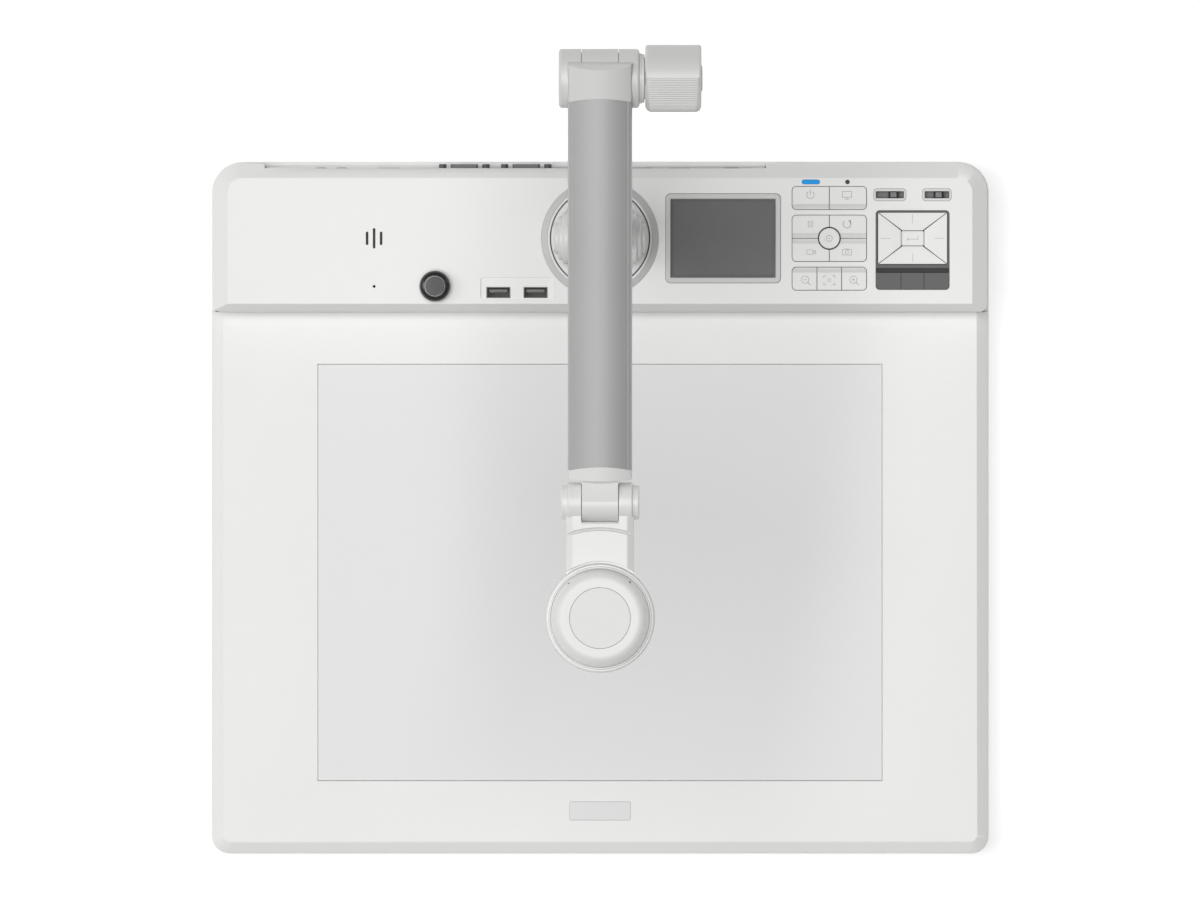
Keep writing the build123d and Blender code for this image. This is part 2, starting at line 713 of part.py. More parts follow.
def video_socket(x):
    """A fifteen-pin video socket: flange plate, tapered shell, block with pins, two jack screws."""
    flange_height = video_height + 4.0
    centre_z = board_top + flange_height / 2
    face_y = rear_zone_y - 0.4
    body = block(x - video_flange_width / 2, x + video_flange_width / 2, rear_zone_y - wall - 8, face_y,
                 board_top, board_top + flange_height)
    half = video_width / 2
    corners = ((-half, video_height / 2), (half, video_height / 2),
               (half - 1.4, -video_height / 2), (-half + 1.4, -video_height / 2))
    face = make_face(Polyline(*corners, close=True))
    face = fillet(face.vertices(), 1.5)
    wall_plane = Plane(origin=(x, face_y, centre_z), x_dir=(-1, 0, 0), z_dir=(0, 1, 0))
    shell = extrude(wall_plane * face, socket_proud + 0.4)
    cavity = extrude(wall_plane * offset(face, -0.6), socket_proud + 1)
    core = extrude(wall_plane * offset(face, -1.6), socket_proud - 0.4)
    body += shell - cavity + core
    for side in (-1, 1):
        screw = Pos(x + side * jackscrew_pitch / 2, face_y, centre_z) * Rot(-90, 0, 0)
        body += screw * extrude(RegularPolygon(jackscrew_radius, 6), socket_proud + 0.4)
        body -= screw * Pos(0, 0, -3) * Cylinder(jackscrew_hole_radius, socket_proud + 6, align=low)
    return body


def rear_socket(x, width, height, hollow_width, hollow_height):
    centre_z = board_top + height / 2
    body = block(x - width / 2, x + width / 2, rear_zone_y - wall - socket_depth, rear_zone_y + 0.3,
                 board_top, board_top + height)
    if hollow_width == hollow_height:
        hole = Rot(90, 0, 0) * Cylinder(hollow_width / 2, 11, align=low)
        return body - Pos(x, rear_zone_y + 1, centre_z) * hole
    return body - block(x - hollow_width / 2, x + hollow_width / 2, rear_zone_y - 9, rear_zone_y + 1,
                        centre_z - hollow_height / 2, centre_z + hollow_height / 2)


def card_slot():
    left = -case_width / 2 + deck_step + 0.4
    y0 = turret_y + card_row - card_width / 2 + 0.2
    y1 = turret_y + card_row + card_width / 2 - 0.2
    body = block(left + wall, left + wall + 24, y0, y1, board_top, board_top + card_height + 1.4)
    body += block(left, left + wall, y0, y1, board_top + 0.8, board_top + 0.8 + card_height)
    return body - block(left - 1, left + 22, y0 + 0.8, y1 - 0.8,
                        board_top + 1.2, board_top + 0.4 + card_height)


save("usb_sockets", *[usb_socket(x) for x in usb_xs])
save("video_sockets", *[video_socket(x) for x in video_xs])
save("rear_sockets", *[rear_socket(*size) for size in rear_ports.values()])
save("card_slot", card_slot())


# ---- Turret: ring in the deck, bearing post on the tray's floor, turning disc and nut ----
def turret_ring():
    body = post(0, turret_y, ring_radius, deck_z - 1.2, deck_z + ring_height)
    body = fillet(body.edges().sort_by(Axis.Z)[-1], 1.6)
    body += post(0, turret_y, ring_radius - 2.3, deck_z - 7, deck_z)
    return body - post(0, turret_y, ring_bore_radius, deck_z - 8, deck_z + 5)


disc_top_z = deck_z + ring_height
disc_low_z = disc_top_z - turret_thickness
bearing_top_z = disc_low_z - 0.4
nut_radius = 15.0
nut_low_z = floor_z + 3.0
nut_high_z = nut_low_z + 7.0


def turret_bearing():
    body = post(0, turret_y, bearing_radius, floor_z, bearing_top_z)
    body -= post(0, turret_y, spindle_radius + running_gap, floor_z - 1, bearing_top_z + 1)
    body -= post(0, turret_y, nut_radius + 1.0, floor_z - 1, nut_high_z + 0.3)
    return body


def turret():
    body = post(0, turret_y, turret_radius, disc_low_z, disc_top_z)
    body = chamfer(body.edges().sort_by(Axis.Z)[-1], 0.6)
    body += post(0, turret_y, spindle_radius, nut_low_z, disc_low_z + 1)
    yoke = bar(shoulder_radius, -shoulder_half_width, shoulder_half_width)
    yoke = chamfer(yoke.edges(), 0.8)
    yoke += block(-shoulder_half_width + 1, shoulder_half_width - 1, -shoulder_radius + 1.5,
                  shoulder_radius - 1.5, -shoulder_height - 1, 0)
    slot_half = centre_knuckle_half + knuckle_gap
    yoke -= block(-slot_half, slot_half, -40, 40, -shoulder_height, 40)
    yoke -= bar(pin_radius + running_gap, -40, 40)
    body += Pos(0, turret_y, shoulder_z) * yoke
    # the shoulder knuckle of the arm turns in a dish in the disc
    body -= Pos(0, turret_y, shoulder_z) * bar(shoulder_radius + saddle_gap, -slot_half, slot_half)
    return body


nut = Pos(0, turret_y, nut_low_z) * extrude(RegularPolygon(nut_radius, 6), nut_high_z - nut_low_z)
nut -= post(0, turret_y, spindle_radius + running_gap, nut_low_z - 1, nut_high_z + 1)
save("turret_ring", turret_ring())
save("turret_bearing", turret_bearing())
save("turret", turret())
save("turret_nut", nut)


def pin(half_length, head_radius, head_length, second_radius, second_length):
    """A hinge pin with a stepped cover disc at each end."""
    body = bar(pin_radius, -half_length - 1, half_length + 1)
    steps = [(head_radius, half_length, head_length)]
    if second_length:
        steps.append((second_radius, half_length + head_length, second_length))
    for radius, start, length in steps:
        cover = bar(radius, start, start + length)
        cover = chamfer(cover.edges().sort_by(Axis.X)[-1], pin_bevel)
        body += [cover, Rot(0, 0, 180) * cover]
    return body


shoulder_pin = pin(shoulder_half_width, shoulder_disc_radius, shoulder_disc_length,
                   shoulder_cap_radius, shoulder_disc_length)
save("shoulder_pin", Pos(0, turret_y, shoulder_z) * shoulder_pin)


# ---- Arm tubes: one crowned section for both links ----
def arm_section(inset):
    """The tube's section: flat underside at y = 0, crowned top. X is the arm's width."""
    half = arm_width / 2 - inset
    side_top = arm_section_height - arm_crown - inset
    top = arm_section_height - inset
    low_y = inset
    edge = Polyline((-half, side_top), (-half, low_y), (half, low_y), (half, side_top))
    crown = ThreePointArc((half, side_top), (0, top), (-half, side_top))
    face = make_face([*edge.edges(), crown])
    return fillet(face.vertices(), max(arm_edge_radius - inset, 0.4))


def arm_run(inset, start, end):
    """The section run along +Z from start to end, with its crown toward +Y."""
    return extrude(Pos(0, 0, start) * arm_section(inset), end - start)


# ---- Lower arm, drawn along +Z from the shoulder axis, crown to the rear ----
lower_shift = -arm_section_height / 2 + 1.0
foot_top = shoulder_radius + 26.0
yoke_low = lower_arm_length - elbow_radius - 26.0


def at_lower_arm(shape):
    return Pos(0, turret_y, shoulder_z) * Rot(-lower_arm_lean, 0, 0) * shape


def knuckle_slot(half_width, radius):
    """The space that a hinge's outer knuckles sweep beside the centre knuckle."""
    inner = centre_knuckle_half
    swept = radius + saddle_gap
    return [bar(swept, -half_width - 2, -inner), bar(swept, inner, half_width + 2)]


def lower_arm_foot():
    body = Pos(0, lower_shift, 0) * arm_run(0, 2.0, foot_top)
    body -= bar(shoulder_radius + saddle_gap, -40, 40)
    knuckle = bar(shoulder_radius, -centre_knuckle_half, centre_knuckle_half)
    web = block(-centre_knuckle_half, centre_knuckle_half, -shoulder_radius + 4, shoulder_radius - 4,
                0, shoulder_radius + 4)
    body += [knuckle, web]
    body -= knuckle_slot(shoulder_half_width, shoulder_radius)
    body -= bar(pin_radius + running_gap, -40, 40)
    body += Pos(0, lower_shift, 0) * arm_run(tube_wall + 0.1, foot_top - 1, foot_top + 12)
    return body


def lower_arm_tube():
    run = arm_run(0, foot_top, yoke_low) - arm_run(tube_wall, foot_top - 1, yoke_low + 1)
    return Pos(0, lower_shift, 0) * run


def elbow_yoke():
    body = Pos(0, lower_shift, 0) * arm_run(0, yoke_low, lower_arm_length - 4)
    body += Pos(0, lower_shift, 0) * arm_run(tube_wall + 0.1, yoke_low - 12, yoke_low + 1)
    axis = Pos(0, 0, lower_arm_length)
    body -= axis * bar(elbow_radius - 0.5, -40, 40)
    barrel = bar(elbow_radius, -elbow_left, elbow_right)
    barrel = chamfer(barrel.edges(), 0.9)
    barrel += bar(elbow_collar_radius, elbow_right - 1, elbow_right + elbow_collar_length)
    barrel += block(-elbow_left + 6, elbow_right - 4, -9, 9, -elbow_radius - 8, 0)
    body += axis * barrel
    slot_half = centre_knuckle_half + knuckle_gap
    body -= axis * bar(elbow_radius + saddle_gap, -slot_half, slot_half)
    body -= axis * bar(pin_radius + running_gap, -40, 40)
    return body


save("lower_arm_foot", at_lower_arm(lower_arm_foot()))
save("lower_arm_tube", at_lower_arm(lower_arm_tube()))
save("elbow_yoke", at_lower_arm(elbow_yoke()))


# ---- Clamp knob and its bolt, on the elbow axis ----
knob_start = elbow_right + elbow_collar_length + knob_gap
bolt_end = knob_start + knob_length - knob_floor


def clamp_knob():
    end = knob_start + knob_length
    body = bar(knob_radius, knob_start, end)
    body = fillet(body.edges(), knob_edge_radius)
    flute = bar(flute_radius, knob_start + flute_margin, end - flute_margin)
    for i in range(knob_flutes):
        angle = 180.0 * (i + 0.5) / knob_flutes
        body -= Rot(angle, 0, 0) * Pos(0, 0, knob_radius + 0.2) * flute
    body += bar(knob_button_radius, end - 1, end + knob_button_length)
    return body - bar(pin_radius, knob_start - 1, bolt_end)


def clamp_bolt():
    return bar(pin_radius, -elbow_left + 2, bolt_end)


save("clamp_knob", Pos(0, elbow_y, elbow_z) * clamp_knob())
save("clamp_bolt", Pos(0, elbow_y, elbow_z) * clamp_bolt())


# ---- Forearm, drawn along -Y from the elbow axis, crown up ----
rear_cap_end = 12.2        # behind the elbow axis
rear_seam = 8.2            # in front of it
front_seam = forearm_length - 22.7
front_cap_end = forearm_length - wrist_radius - 4.5


def at_forearm(shape):
    return Pos(0, elbow_y, elbow_z) * Rot(forearm_pitch, 0, 0) * shape


def forearm_run(inset, start, end):
    """The section run toward the front, from start to end in front of the elbow axis."""
    run = Rot(90, 0, 0) * arm_run(inset, start, end)
    return Pos(0, 0, tube_rise) * run


def forearm_rear_cap():
    body = forearm_run(0, -rear_cap_end, rear_seam)
    body -= bar(elbow_radius + saddle_gap, -40, 40)
    knuckle = bar(elbow_radius, -centre_knuckle_half, centre_knuckle_half)
    web = block(-centre_knuckle_half, centre_knuckle_half, -rear_seam, rear_cap_end - 0.5,
                0, tube_rise + arm_section_height - arm_crown)
    body += [knuckle, web]
    spigot = forearm_run(tube_wall + 0.1, rear_seam - 1, rear_seam + 14)
    body += spigot - bar(elbow_radius + saddle_gap, -40, 40)
    return body - bar(pin_radius + running_gap, -40, 40)


def forearm_tube():
    body = forearm_run(0, rear_seam, front_seam)
    body -= forearm_run(tube_wall, rear_seam - 1, front_seam + 1)
    return body - bar(elbow_radius + saddle_gap, -40, 40)


def forearm_front_cap():
    axis = Pos(0, -forearm_length, wrist_rise)
    body = forearm_run(0, front_seam, front_cap_end)
    body += forearm_run(tube_wall + 0.1, front_seam - 14, front_seam + 1)
    knuckle = bar(wrist_radius, -centre_knuckle_half, centre_knuckle_half)
    web = block(-centre_knuckle_half, centre_knuckle_half, 0, forearm_length - front_cap_end + 2,
                -6, wrist_radius - 1)
    body += [axis * knuckle, axis * web]
    body -= [axis * slot for slot in knuckle_slot(wrist_half_width, wrist_radius)]
    return body - axis * bar(pin_radius + running_gap, -40, 40)


save("forearm_rear_cap", at_forearm(forearm_rear_cap()))
save("forearm_tube", at_forearm(forearm_tube()))
save("forearm_front_cap", at_forearm(forearm_front_cap()))


# ---- Neck, level, drawn along -Y from the wrist axis ----
def at_wrist(shape):
    return Pos(0, wrist_y, wrist_z) * shape


def neck():
    outer = bar(wrist_outer_radius, -wrist_half_width, wrist_half_width)
    arms = block(-wrist_half_width, wrist_half_width, -wrist_radius - 6, 0, -7, 5.0)
    slot_half = centre_knuckle_half + knuckle_gap
    body = outer + arms
    run_start = -neck_top + 0.9
    run = block(-neck_width / 2, neck_width / 2, -head_reach, run_start, -neck_bottom, neck_top)
    body += fillet(run.edges().filter_by(Axis.Y), neck_edge_radius)
    body += Pos(0, -head_reach, -collar_below) * Cylinder(collar_radius, collar_below + neck_top, align=low)
    body -= block(-slot_half, slot_half, -wrist_radius - saddle_gap - 0.4, 40, -40, 40)
    body -= bar(pin_radius, -40, 40)
    disc_seat = bar(wrist_disc_radius + running_gap, wrist_half_width, neck_width)
    body -= [disc_seat, Rot(0, 0, 180) * disc_seat]
    body -= Pos(0, -head_reach, -collar_below - 1) * Cylinder(head_rim_radius + running_gap, 60, align=low)
    return body


save("neck", at_wrist(neck()))
save("wrist_pin", at_wrist(pin(wrist_half_width, wrist_disc_radius, wrist_disc_length, 0, 0)))


# ---- Camera head, turning in the neck's collar about its own upright axis ----
head_top = neck_top + head_rise


def head_profile():
    """Half section of the head shell: rim, convex shoulder, plateau, and the lower skirt."""
    outline = [
        Line((0, -head_below), (head_rim_radius - 2, -head_below)),
        Line((head_rim_radius - 2, -head_below), (head_rim_radius, -head_below + 2)),
        Line((head_rim_radius, -head_below + 2), (head_rim_radius, neck_top + 1.0)),
        ThreePointArc((head_rim_radius, neck_top + 1.0), (head_rim_radius - 2.4, neck_top + 6.0),
                      (head_plateau_radius, head_top)),
        Line((head_plateau_radius, head_top), (0, head_top)),
        Line((0, head_top), (0, -head_below)),
    ]
    return make_face(Plane.XZ * Wire(outline))


def head_shell():
    body = revolve(head_profile(), Axis.Z)
    body -= Pos(0, 0, head_top - head_disc_thickness) * Cylinder(head_disc_radius + 0.1, 5, align=low)
    body -= Pos(0, 0, -head_below - 1) * Cylinder(lens_radius + 0.1, head_below + 1, align=low)
    ring_cut = Cylinder(head_rim_radius - 3.2, 4.5, align=low) - Cylinder(lens_radius + 2.2, 4.5, align=low)
    return body - Pos(0, 0, -head_below - 0.5) * ring_cut


def lens_barrel():
    body = Pos(0, 0, -lens_below) * Cylinder(lens_radius, lens_below, align=low)
    body = fillet(body.edges().sort_by(Axis.Z)[0], 1.2)
    throat = Pos(0, 0, -lens_below) * Cone(lens_radius - 2.2, lens_glass_radius + 0.1, 6.0, align=low)
    return body - throat - Pos(0, 0, -lens_below + 5) * Cylinder(lens_glass_radius + 0.1, 6, align=low)


def lens_glass():
    body = Pos(0, 0, -lens_below + 6.4) * Cylinder(lens_glass_radius, 4.6, align=low)
    return fillet(body.edges().sort_by(Axis.Z)[0], 1.4)


def lamp_ring():
    ring = Cylinder(head_rim_radius - 3.4, 3.6, align=low) - Cylinder(lens_radius + 2.4, 3.6, align=low)
    return Pos(0, 0, -head_below + 0.4) * ring


def at_head(shape):
    return Pos(0, head_y, wrist_z) * shape


save("head_shell", at_head(head_shell()))
head_disc = Cylinder(head_disc_radius, head_disc_thickness, align=low)
save("head_disc", at_head(Pos(0, 0, head_top - head_disc_thickness) * head_disc))
save("lens_barrel", at_head(lens_barrel()))
save("lens_glass", at_head(lens_glass()))
save("lamp_ring", at_head(lamp_ring()))
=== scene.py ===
import bpy
import math
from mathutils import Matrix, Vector


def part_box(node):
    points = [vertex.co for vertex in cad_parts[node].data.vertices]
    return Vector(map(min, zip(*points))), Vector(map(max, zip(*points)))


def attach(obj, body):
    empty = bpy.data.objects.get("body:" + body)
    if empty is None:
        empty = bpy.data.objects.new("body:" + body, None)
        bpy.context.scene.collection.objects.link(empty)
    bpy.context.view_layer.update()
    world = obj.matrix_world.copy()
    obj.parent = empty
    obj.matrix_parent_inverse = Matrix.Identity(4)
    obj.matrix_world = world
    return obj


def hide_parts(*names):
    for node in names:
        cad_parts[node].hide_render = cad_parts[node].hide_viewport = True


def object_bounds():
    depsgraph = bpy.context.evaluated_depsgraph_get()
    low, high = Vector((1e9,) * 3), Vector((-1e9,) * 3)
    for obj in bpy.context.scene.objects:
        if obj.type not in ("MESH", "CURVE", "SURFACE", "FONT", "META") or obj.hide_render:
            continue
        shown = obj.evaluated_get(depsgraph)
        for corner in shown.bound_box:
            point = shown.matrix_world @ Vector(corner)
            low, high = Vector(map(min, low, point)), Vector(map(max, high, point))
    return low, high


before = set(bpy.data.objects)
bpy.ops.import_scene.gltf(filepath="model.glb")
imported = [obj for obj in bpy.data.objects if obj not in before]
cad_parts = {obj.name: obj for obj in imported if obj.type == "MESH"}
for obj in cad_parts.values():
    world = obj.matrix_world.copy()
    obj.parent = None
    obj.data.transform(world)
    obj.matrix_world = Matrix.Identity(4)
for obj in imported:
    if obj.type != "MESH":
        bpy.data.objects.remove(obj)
cad_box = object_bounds()
bpy.context.scene.view_settings.view_transform = "Standard"
mm = 0.001

# ---- Lower tray ----
# The underside of the case: one white moulded tray with rounded corners, vent slots under the
# stage and eight deep screw holes. Its shell comes from the construction, welded and smoothed.


def shader_group(name, inputs, outputs):
    """A node group with these named inputs and outputs, ready for its nodes."""
    group = bpy.data.node_groups.new(name, "ShaderNodeTree")
    for label, value in inputs.items():
        kind = "NodeSocketVector" if value is None else "NodeSocketFloat"
        socket = group.interface.new_socket(label, in_out="INPUT", socket_type=kind)
        if value is not None:
            socket.default_value = value
    for label, kind in outputs.items():
        group.interface.new_socket(label, in_out="OUTPUT", socket_type=kind)
    return group


def add(tree, kind, values=None, **settings):
    """A node with its settings, and its inputs set to numbers or joined to other sockets."""
    node = tree.nodes.new(kind)
    for label, value in settings.items():
        setattr(node, label, value)
    for label, value in (values or {}).items():
        socket = node.inputs[label]
        if isinstance(value, bpy.types.NodeSocket):
            tree.links.new(value, socket)
        else:
            socket.default_value = value
    return node


def grain_group():
    """Spark-eroded mould grain: pits and a slow change of tone, on object coordinates."""
    group = shader_group("moulded_grain", {"Vector": None, "Scale": 1500.0, "Mottle": 14.0},
            {"Height": "NodeSocketFloat", "Tone": "NodeSocketFloat"})
    given = group.nodes.new("NodeGroupInput").outputs
    pits = add(group, "ShaderNodeTexNoise",
            {"Vector": given["Vector"], "Scale": given["Scale"], "Detail": 3.0, "Roughness": 0.65})
    cells = add(group, "ShaderNodeTexVoronoi", {"Vector": given["Vector"], "Scale": given["Scale"]},
            feature="SMOOTH_F1")
    height = add(group, "ShaderNodeMath", {0: pits.outputs["Fac"], 1: cells.outputs["Distance"]},
            operation="ADD")
    slow = add(group, "ShaderNodeTexNoise",
            {"Vector": given["Vector"], "Scale": given["Mottle"], "Detail": 4.0, "Roughness": 0.55})
    speck = add(group, "ShaderNodeMix", {0: 0.35, 2: slow.outputs["Fac"], 3: pits.outputs["Fac"]})
    result = group.nodes.new("NodeGroupOutput")
    group.links.new(height.outputs[0], result.inputs["Height"])
    group.links.new(speck.outputs[0], result.inputs["Tone"])
    return group


def edge_group():
    """Edges rubbed by hands and lit: a rounded normal, and a mask that is 1 along outer edges, which
    lightens them as wear and as a painted edge highlight.
    """
    group = shader_group("worn_and_highlit_edges", {"Radius": 0.0004},
            {"Mask": "NodeSocketFloat", "Normal": "NodeSocketVector"})
    given = group.nodes.new("NodeGroupInput").outputs
    rounded = add(group, "ShaderNodeBevel", {"Radius": given["Radius"]}, samples=4)
    shape = add(group, "ShaderNodeNewGeometry")
    turn = add(group, "ShaderNodeVectorMath", {0: rounded.outputs[0], 1: shape.outputs["Normal"]},
            operation="DOT_PRODUCT")
    mask = add(group, "ShaderNodeMapRange",
            {"Value": turn.outputs["Value"], "From Min": 0.995, "From Max": 0.86, "To Min": 0.0,
            "To Max": 1.0})
    result = group.nodes.new("NodeGroupOutput")
    group.links.new(mask.outputs[0], result.inputs["Mask"])
    group.links.new(rounded.outputs[0], result.inputs["Normal"])
    return group


def dust_group():
    """Fine dust that settles on what faces up, thicker in soft patches."""
    group = shader_group("settled_dust", {"Vector": None, "Amount": 0.1}, {"Mask": "NodeSocketFloat"})
    given = group.nodes.new("NodeGroupInput").outputs
    shape = add(group, "ShaderNodeNewGeometry")
    facing = add(group, "ShaderNodeSeparateXYZ", {0: shape.outputs["Normal"]})
    up = add(group, "ShaderNodeMapRange",
            {"Value": facing.outputs["Z"], "From Min": 0.3, "From Max": 1.0})
    patches = add(group, "ShaderNodeTexNoise",
            {"Vector": given["Vector"], "Scale": 22.0, "Detail": 6.0, "Roughness": 0.7})
    spread = add(group, "ShaderNodeMapRange",
            {"Value": patches.outputs["Fac"], "From Min": 0.35, "From Max": 0.75})
    both = add(group, "ShaderNodeMath", {0: up.outputs[0], 1: spread.outputs[0]}, operation="MULTIPLY")
    given_share = add(group, "ShaderNodeMath", {0: both.outputs[0], 1: given["Amount"]},
            operation="MULTIPLY")
    result = group.nodes.new("NodeGroupOutput")
    group.links.new(given_share.outputs[0], result.inputs["Mask"])
    return group


moulded_grain = grain_group()
worn_and_highlit_edges = edge_group()
settled_dust = dust_group()


def linear(level):
    """A tone of 0 to 255 as the shader's linear number."""
    share = level / 255.0
    return share / 12.92 if share <= 0.04045 else ((share + 0.055) / 1.055) ** 2.4


def moulding(name, colour, roughness, grain=1500.0, depth=0.00002, tone=0.03, edge=0.0004, lift=0.05,
        dust=0.05, mottle=14.0, **shader):
    """A moulded, painted or metal finish: grain, slow mottling, edges lightened by wear and by a
    painted edge highlight, and settled dust.
    """
    material = bpy.data.materials.new(name)
    material.use_nodes = True
    tree = material.node_tree
    surface = tree.nodes["Principled BSDF"]
    for label, value in shader.items():
        surface.inputs[label.replace("_", " ")].default_value = value
    place = add(tree, "ShaderNodeTexCoord").outputs["Object"]
    skin = add(tree, "ShaderNodeGroup", node_tree=moulded_grain)
    tree.links.new(place, skin.inputs["Vector"])
    skin.inputs["Scale"].default_value = grain
    skin.inputs["Mottle"].default_value = mottle
    rim = add(tree, "ShaderNodeGroup", node_tree=worn_and_highlit_edges)
    rim.inputs["Radius"].default_value = edge
    film = add(tree, "ShaderNodeGroup", node_tree=settled_dust)
    tree.links.new(place, film.inputs["Vector"])
    film.inputs["Amount"].default_value = dust
    base = [linear(c) for c in colour]
    low = [c * (1 - tone) for c in base] + [1]
    high = [min(1.0, c * (1 + tone)) for c in base] + [1]
    # Outer edges are mixed towards white: partly rubbed wear, partly a painted edge highlight.
    edge_wear_and_highlight_colour = [c + (1 - c) * lift for c in base] + [1]
    body = add(tree, "ShaderNodeMix", {0: skin.outputs["Tone"], 6: low, 7: high}, data_type="RGBA")
    edge_wear_and_highlight_mix = add(tree, "ShaderNodeMix", {0: rim.outputs["Mask"], 6: body.outputs[2], 7: edge_wear_and_highlight_colour},
            data_type="RGBA")
    dusty = add(tree, "ShaderNodeMix",
            {0: film.outputs["Mask"], 6: edge_wear_and_highlight_mix.outputs[2], 7: (0.62, 0.6, 0.57, 1)}, data_type="RGBA")
    tree.links.new(dusty.outputs[2], surface.inputs["Base Color"])
    rough = add(tree, "ShaderNodeMapRange", {"Value": skin.outputs["Tone"], "To Min": roughness - 0.05,
            "To Max": roughness + 0.07})
    tree.links.new(rough.outputs[0], surface.inputs["Roughness"])
    bump = add(tree, "ShaderNodeBump",
            {"Height": skin.outputs["Height"], "Distance": depth, "Normal": rim.outputs["Normal"],
            "Strength": 0.8})
    tree.links.new(bump.outputs[0], surface.inputs["Normal"])
    return material


def alone(piece):
    """Makes this the only selected object, in object mode."""
    bpy.ops.object.select_all(action="DESELECT")
    piece.select_set(True)
    bpy.context.view_layer.objects.active = piece


def fix_place():
    """Takes the chosen piece's place, turn and size into its mesh."""
    bpy.ops.object.transform_apply(location=True, rotation=True, scale=True)


def settle(piece, finish, body, slot, *nodes, angle=32, weld=0.00001):
    """A finished piece: smooth where it curves, its place in its mesh, riding on its body."""
    alone(piece)
    fix_place()
    bpy.ops.object.mode_set(mode="EDIT")
    bpy.ops.mesh.select_all(action="SELECT")
    bpy.ops.mesh.remove_doubles(threshold=weld)
    bpy.ops.mesh.dissolve_degenerate(threshold=weld)
    bpy.ops.object.mode_set(mode="OBJECT")
    bpy.ops.object.shade_smooth_by_angle(angle=math.radians(angle))
    even = piece.modifiers.new("even_shading", "WEIGHTED_NORMAL")
    even.keep_sharp = True
    bpy.ops.object.modifier_apply(modifier=even.name)
    piece.data.materials.clear()
    piece.data.materials.append(finish)
    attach(piece, body)
    if nodes:
        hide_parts(*nodes)
    return piece


def welded(node, name):
    """The shell of a construction piece as one welded mesh."""
    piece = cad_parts[node].copy()
    piece.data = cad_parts[node].data.copy()
    piece.name = piece.data.name = name
    piece.parent = None
    for key in list(piece.keys()):
        del piece[key]
    bpy.context.scene.collection.objects.link(piece)
    alone(piece)
    bpy.ops.object.mode_set(mode="EDIT")
    bpy.ops.mesh.select_all(action="SELECT")
    bpy.ops.mesh.remove_doubles(threshold=0.000002)
    bpy.ops.mesh.dissolve_limited(angle_limit=math.radians(0.3))
    bpy.ops.object.mode_set(mode="OBJECT")
    return piece


case_white = moulding("white_case_plastic", (240, 240, 238), 0.42, grain=1300.0, depth=0.000015,
        tone=0.012, lift=0.3, dust=0.03)
settle(welded("base_tray", "lower_tray"), case_white, "base", "white_case", "base_tray")

# ---- Feet and case screws ----
# Four moulded rubber feet with a recessed tread, and eight cross-head screws deep in the tray,
# which hold the tray to the two covers.


def block(name, low, high):
    """A box between two corners, in millimetres."""
    bpy.ops.object.select_all(action="DESELECT")
    bpy.ops.mesh.primitive_cube_add(size=1, location=[(a + b) / 2 * mm for a, b in zip(low, high)])
    piece = bpy.context.object
    piece.scale = [(b - a) * mm for a, b in zip(low, high)]
    piece.name = piece.data.name = name
    fix_place()
    return piece


def around(name, middle, half, low, high):
    """A box round an upright line: its middle and half its size in plan, and its two heights."""
    return block(name, (middle[0] - half[0], middle[1] - half[1], low),
            (middle[0] + half[0], middle[1] + half[1], high))


def rod(name, radius, start, end, sides=64):
    """A round bar from one point to another, in millimetres."""
    run = Vector(end) - Vector(start)
    bpy.ops.object.select_all(action="DESELECT")
    bpy.ops.mesh.primitive_cylinder_add(vertices=sides, radius=radius * mm, depth=run.length * mm,
            location=(Vector(start) + run / 2) * mm)
    piece = bpy.context.object
    piece.rotation_euler = run.to_track_quat("Z", "Y").to_euler()
    piece.name = piece.data.name = name
    fix_place()
    return piece


def choose(piece, kind, test):
    """Edit mode with those parts selected whose middle (mm) and direction pass the test."""
    alone(piece)
    mesh = piece.data
    for part in (*mesh.vertices, *mesh.edges, *mesh.polygons):
        part.select = False
    points = [v.co / mm for v in mesh.vertices]
    if kind == "EDGE":
        for edge in mesh.edges:
            a, b = (points[i] for i in edge.vertices)
            edge.select = bool(test((a + b) / 2, (b - a).normalized()))
    elif kind == "FACE":
        for face in mesh.polygons:
            face.select = bool(test(face.center / mm, face.normal))
    else:
        for point in mesh.vertices:
            point.select = bool(test(points[point.index], point.normal))
    bpy.context.tool_settings.mesh_select_mode = (kind == "VERT", kind == "EDGE", kind == "FACE")
    bpy.ops.object.mode_set(mode="EDIT")


def leave():
    bpy.ops.object.mode_set(mode="OBJECT")


def round_edges(piece, radius, test, segments=4):
    """Rounds the edges that pass the test."""
    choose(piece, "EDGE", test)
    bpy.ops.mesh.bevel(offset=radius * mm, offset_type="OFFSET", segments=segments, affect="EDGES")
    leave()
    return piece


def soften(piece, width=0.25, segments=2, angle=35):
    """A small moulded radius on every sharp edge."""
    alone(piece)
    edge = piece.modifiers.new("moulded_radius", "BEVEL")
    edge.width = width * mm
    edge.segments = segments
    edge.limit_method = "ANGLE"
    edge.angle_limit = math.radians(angle)
    edge.harden_normals = False
    bpy.ops.object.modifier_apply(modifier=edge.name)
    return piece


def combine(piece, *others, how="DIFFERENCE"):
    """Cuts the others out of a piece, or adds or intersects them."""
    alone(piece)
    for other in others:
        step = piece.modifiers.new("shape", "BOOLEAN")
        step.operation = how
        step.solver = "EXACT"
        step.object = other
        bpy.ops.object.modifier_apply(modifier=step.name)
        bpy.data.objects.remove(other)
    return piece


def join(name, pieces):
    """Several loose parts as one piece."""
    bpy.ops.object.select_all(action="DESELECT")
    for piece in pieces:
        piece.select_set(True)
    bpy.context.view_layer.objects.active = pieces[0]
    bpy.ops.object.join()
    pieces[0].name = pieces[0].data.name = name
    return pieces[0]


def repeat(piece, name, shift):
    """A copy with its own mesh, moved by shift in millimetres."""
    alone(piece)
    bpy.ops.object.duplicate()
    twin = bpy.context.object
    twin.name = twin.data.name = name
    twin.location = twin.location + Vector(shift) * mm
    fix_place()
    return twin


def span(node):
    """The low and high corners of a construction piece, in millimetres."""
    return [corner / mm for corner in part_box(node)]


